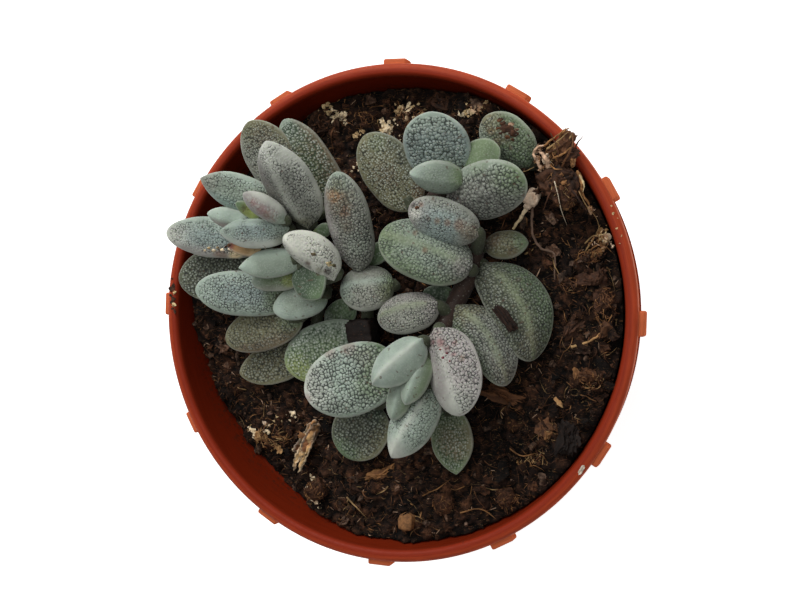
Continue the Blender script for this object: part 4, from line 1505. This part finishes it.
def build_crusts(cover):
    """Dry scabs that stand out from the leaves."""
    sheaf = Sheaf()
    steps, rings = 30, 8
    for (x, y), size, rise, tones, seed in CRUSTS:
        points = []
        shades = []
        for ring in range(rings + 1):
            share = ring / rings
            for step in range(steps if ring else 1):
                angle = 2 * math.pi * step / steps
                across, back = math.cos(angle), math.sin(angle)
                ragged = 1 + 0.5 * noise.noise(Vector((across * 1.6, back * 1.6, seed * 3.1)))
                px = x + across * size * share * ragged
                py = y + back * size * share * ragged * 0.8
                hit = dropped(cover, px, py)
                if hit is None or hit.z < (points[0].z - 1.6 if points else 0.0):
                    hit = points[0] - Vector((0, 0, 0.6))
                grain = noise.noise(Vector((px * 2.2, py * 2.2, seed)))
                height = rise * (0.5 + 1.1 * grain) * (1 - share ** 4)
                height += 0.12 * (1 - share) - 0.18 * share ** 6
                points.append(Vector((px, py, hit.z + height)))
                shades.append(0.5 + 1.3 * grain)
        points.append(points[0] - Vector((0, 0, 0.5 + rise)))
        shades.append(0.0)
        sheaf.add([tuple(point) for point in points], shell_faces(rings, steps), mingled(tones, shades))
    return sheaf


def build_crumbs(ground, rng):
    """Loose crumbs of peat and bark."""
    sheaf = Sheaf()
    names = ("black", "black", "black", "peat", "peat", "umber", "brown", "brown", "drab")
    for number in range(CRUMBS):
        x, y = spot_within(rng, LITTER_RADIUS)
        size = min(1.2, 0.25 * math.exp(0.6 * rng.normal()))
        height = ground.height(x, y, False)
        if height is None or ground.room(x, y, height) < 2.4 * size + 0.4:
            continue
        if math.hypot(x, y) + size * 1.3 > wall_inside(height):
            continue
        half = size * rng.uniform(0.6, 1.4, 3) * np.array((1, 1, 0.75))
        tones = pick(rng, names), pick(rng, names)
        chunk(sheaf, (x, y, height + half[2] * 0.35), half, rng.uniform(0, 360), rng.uniform(-40, 40),
              number * 1.37, 2 if size > 0.42 else 1, tones, 1.0, 0.4, 1.0)
    return sheaf


def build_bits(ground, rng):
    """Bits of perlite, flakes of bark and lumps that can be told apart on the peat, and those on the rim."""
    sheaf = Sheaf()
    for number, ((x, y), half, tones) in enumerate(BITS):
        pieces = [(x, y, half)]
        if max(half) < 0.75:
            pieces = []
            for _ in range(8):
                size = min(1.1, 0.45 * math.exp(0.45 * rng.normal()))
                turn = rng.uniform(0, 2 * math.pi)
                reach = rng.uniform(0.1, 1.2)
                pieces.append((x + reach * math.cos(turn), y + reach * math.sin(turn),
                               tuple(size * side for side in half)))
        for order, (px, py, sides) in enumerate(pieces):
            height = ground.height(px, py)
            if height is None or ground.room(px, py, height) < sides[2] * 2:
                continue
            if math.hypot(px, py) + sides[0] > wall_inside(height):
                continue
            seed = number * 7 + order
            detail = 4 if max(sides) > 1.2 else 3 if max(sides) > 0.75 else 2
            chunk(sheaf, (px, py, height + sides[2] * 0.4), sides, seed * 47 % 360, seed * 31 % 50 - 25,
                  seed * 2.3 + 5, detail, tones, 0.9, 0.6, 0.8)
    for number, ((x, y), size) in enumerate(RIM_CRUMBS):
        tones = ("straw", "cream") if x > 0 or number % 4 == 3 else ("peat", "brown")
        chunk(sheaf, (x, y, RIM_TOP + size * 0.2), (size, size * 0.75, size * 0.5), number * 71, 10,
              number * 3.1, 2, tones, 0.8, 0.4, 1.2)
    (x, y), half, turn = RIM_FLAKE
    chunk(sheaf, (x, y, RIM_TOP + 0.1), half, turn, 6, 4.4, 3, ("shell", "white"), 0.8, 0.5, 1.0)
    return sheaf


def lay(sheaf, ground, places, lift, radius, tone, sides, on_litter=True, between=4):
    """Adds a fibre along places from above, that rests on what is highest there, if there is room for it."""
    line = smooth_run([(x, y, 0) for x, y in places], between)
    heights = []
    for point in line:
        height = ground.height(point.x, point.y, on_litter)
        if height is None or ground.room(point.x, point.y, height) < lift + 3 * radius + 0.15:
            return
        heights.append(height)
    if max(heights) - min(heights) > 2.6:
        return
    heights = np.array(heights)
    soft = heights.copy()
    for _ in range(3):
        spread = np.concatenate([soft[:1], soft, soft[-1:]])
        soft = np.maximum(heights, (spread[:-2] + spread[1:-1] + spread[2:]) / 3)
    share = np.linspace(0, 1, len(line))
    line = [Vector((point.x, point.y, soft[index] + radius * 0.6 + lift * math.sin(math.pi * share[index])))
            for index, point in enumerate(line)]
    shade = (0.75 + 0.35 * np.sin(share * 9 + radius * 100))[:, None]
    sheaf.add_rod(line, tapered(radius, len(line), 0.35), sides, TONE[tone] * shade)


def build_fibres(ground, rng):
    """The fibres and thin roots that can be told apart, and many more all over the surface."""
    sheaf = Sheaf()
    for thread in THREADS:
        lay(sheaf, ground, *thread, 8)
    names = ("umber", "umber", "brown", "brown", "brown", "rust", "rust", "tan", "straw")
    for _ in range(FIBRES):
        places = [spot_within(rng, FIBRE_RADIUS)]
        heading = rng.uniform(0, 2 * math.pi)
        reach = min(7.0, 1.9 * math.exp(0.5 * rng.normal()))
        curve = rng.normal(0, 0.22)
        for _ in range(4):
            heading += curve + rng.normal(0, 0.16)
            x, y = places[-1]
            places.append((x + math.cos(heading) * reach / 4, y + math.sin(heading) * reach / 4))
        if max(math.hypot(*point) for point in places) > LITTER_RADIUS:
            continue
        tone = pick(rng, names)
        radius = min(0.18, 0.05 * math.exp(0.5 * rng.normal()))
        lay(sheaf, ground, places, abs(rng.normal(0, 0.25)), radius, tone, 4, False, 2)
    return sheaf


def build_splinters(ground, rng):
    """Short straight splinters of straw and bark, tilted all ways in the peat."""
    sheaf = Sheaf()
    names = ("brown", "brown", "rust", "rust", "tan", "shell")
    for _ in range(SPLINTERS):
        x, y = spot_within(rng, LITTER_RADIUS)
        if noise.noise(Vector((x, y, 33.0)) / 4.0) < rng.uniform(-0.35, 0.35):
            continue
        height = ground.height(x, y, False)
        reach = rng.uniform(0.35, 1.5)
        if height is None or ground.room(x, y, height) < 1.2:
            continue
        heading = rng.uniform(0, 2 * math.pi)
        way = Vector((math.cos(heading), math.sin(heading), rng.uniform(-0.25, 0.45))) * reach * 0.5
        middle = Vector((x, y, height + 0.08 + 0.25 * abs(way.z)))
        ends = [middle - way, middle, middle + way]
        if max(math.hypot(end.x, end.y) for end in ends) > SPLINTER_RADIUS:
            continue
        radius = rng.uniform(0.025, 0.085)
        tone = TONE[pick(rng, names)] * rng.uniform(0.5, 1.25)
        sheaf.add_rod(ends, (radius, radius * 1.1, radius * 0.5), 4, tone)
    return sheaf


def ridden(piece, slot, *nodes):
    """A finished piece that rides on the pot, with the nodes that it stands for."""
    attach(piece, "root")
    if nodes:
        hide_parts(*nodes)


def build_floor(finish):
    """The pale board under the pot."""
    shape = bmesh.new()
    bmesh.ops.create_grid(shape, x_segments=4, y_segments=4, size=1.2)
    mesh = bpy.data.meshes.new("board")
    shape.to_mesh(mesh)
    shape.free()
    mesh.materials.append(finish)
    placed("board", mesh)


def place_camera():
    """The photograph's view, from almost straight above."""
    camera = bpy.data.cameras.new("camera")
    camera.lens = CAMERA_LENS
    camera.sensor_width = CAMERA_SENSOR
    camera.clip_start = 0.01
    back = Vector(CAMERA_BACK).normalized()
    up = Vector(CAMERA_UP)
    up = (up - back * up.dot(back)).normalized()
    turn = Matrix((up.cross(back), up, back)).transposed().to_4x4()
    thing = placed("camera", camera)
    thing.matrix_world = Matrix.Translation(CAMERA_PLACE) @ turn
    bpy.context.scene.camera = thing


def light_studio():
    """Soft daylight from the back left, with a pale surround."""
    world = bpy.data.worlds.new("studio")
    world.use_nodes = True
    surround = world.node_tree.nodes["Background"]
    surround.inputs["Color"].default_value = (1.0, 0.99, 0.97, 1)
    surround.inputs["Strength"].default_value = 0.25
    bpy.context.scene.world = world
    for name, (place, sides, power, colour) in LAMPS.items():
        lamp = bpy.data.lights.new(name, "AREA")
        lamp.shape = "RECTANGLE"
        lamp.size, lamp.size_y = sides
        lamp.energy = power
        lamp.color = colour
        thing = placed(name, lamp)
        thing.location = place
        thing.rotation_euler = (Vector(LIT_POINT) - Vector(place)).to_track_quat("-Z", "Y").to_euler()
    bpy.context.scene.view_settings.view_transform = "Standard"


def main():
    """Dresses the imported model."""
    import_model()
    noise.seed_set(17)
    rng = np.random.default_rng(7)
    skin, peat = leaf_finish(), peat_finish()
    bark = litter_finish("bark_surface", 0.8, 2200.0, 0.12, 0.3)
    fibre = litter_finish("fibre_surface", 0.75, 3000.0, 0.05, 0.2)

    ridden(build_pot(pot_finish()), "terracotta_plastic", "pot")
    leaves, litter = Sheaf(), Sheaf()
    for number, name in enumerate(SHOOTS):
        ridden(build_shoot(name, number, skin, leaves), "leaf", name)
    cover = leaves.tree()
    ridden(build_crusts(cover).build("leaf_crusts", bark, 40), "leaf")
    soil = build_soil(cover)
    ridden(soil.build("peat_soil", peat), "peat", "soil")
    soil = soil.tree()

    laid = []
    for name in LUMPS:
        slot, finish = ("peat", peat) if name.startswith("peat") else ("bark", bark)
        laid.append((build_lump(name), name + "_rough", finish, 60, slot, name))
    laid.append((build_withered_leaf(), "withered_leaf_curled", fibre, None, "straw", "withered_leaf"))
    laid += [(build_root(name, soil), name + "_drawn", fibre, None, "straw", name) for name in ROOTS]
    laid.append((build_clump(rng), "root_clump_tangle", bark, 60, "peat", "root_clump"))
    for sheaf, piece, finish, sharp, slot, node in laid:
        ridden(sheaf.build(piece, finish, sharp), slot, node)
        litter.take(sheaf)

    ground = Ground(soil, litter.tree(), cover)
    ridden(build_bits(ground, rng).build("loose_bits", bark, 35), "bark")
    ridden(build_crumbs(ground, rng).build("peat_crumbs", peat, 35), "peat")
    ridden(build_fibres(ground, rng).build("peat_fibres", fibre), "straw")
    ridden(build_splinters(ground, rng).build("peat_splinters", fibre), "straw")
    ridden(build_tufts(rng).build("root_tufts", fibre), "straw")

    build_floor(floor_finish())
    place_camera()
    light_studio()


main()
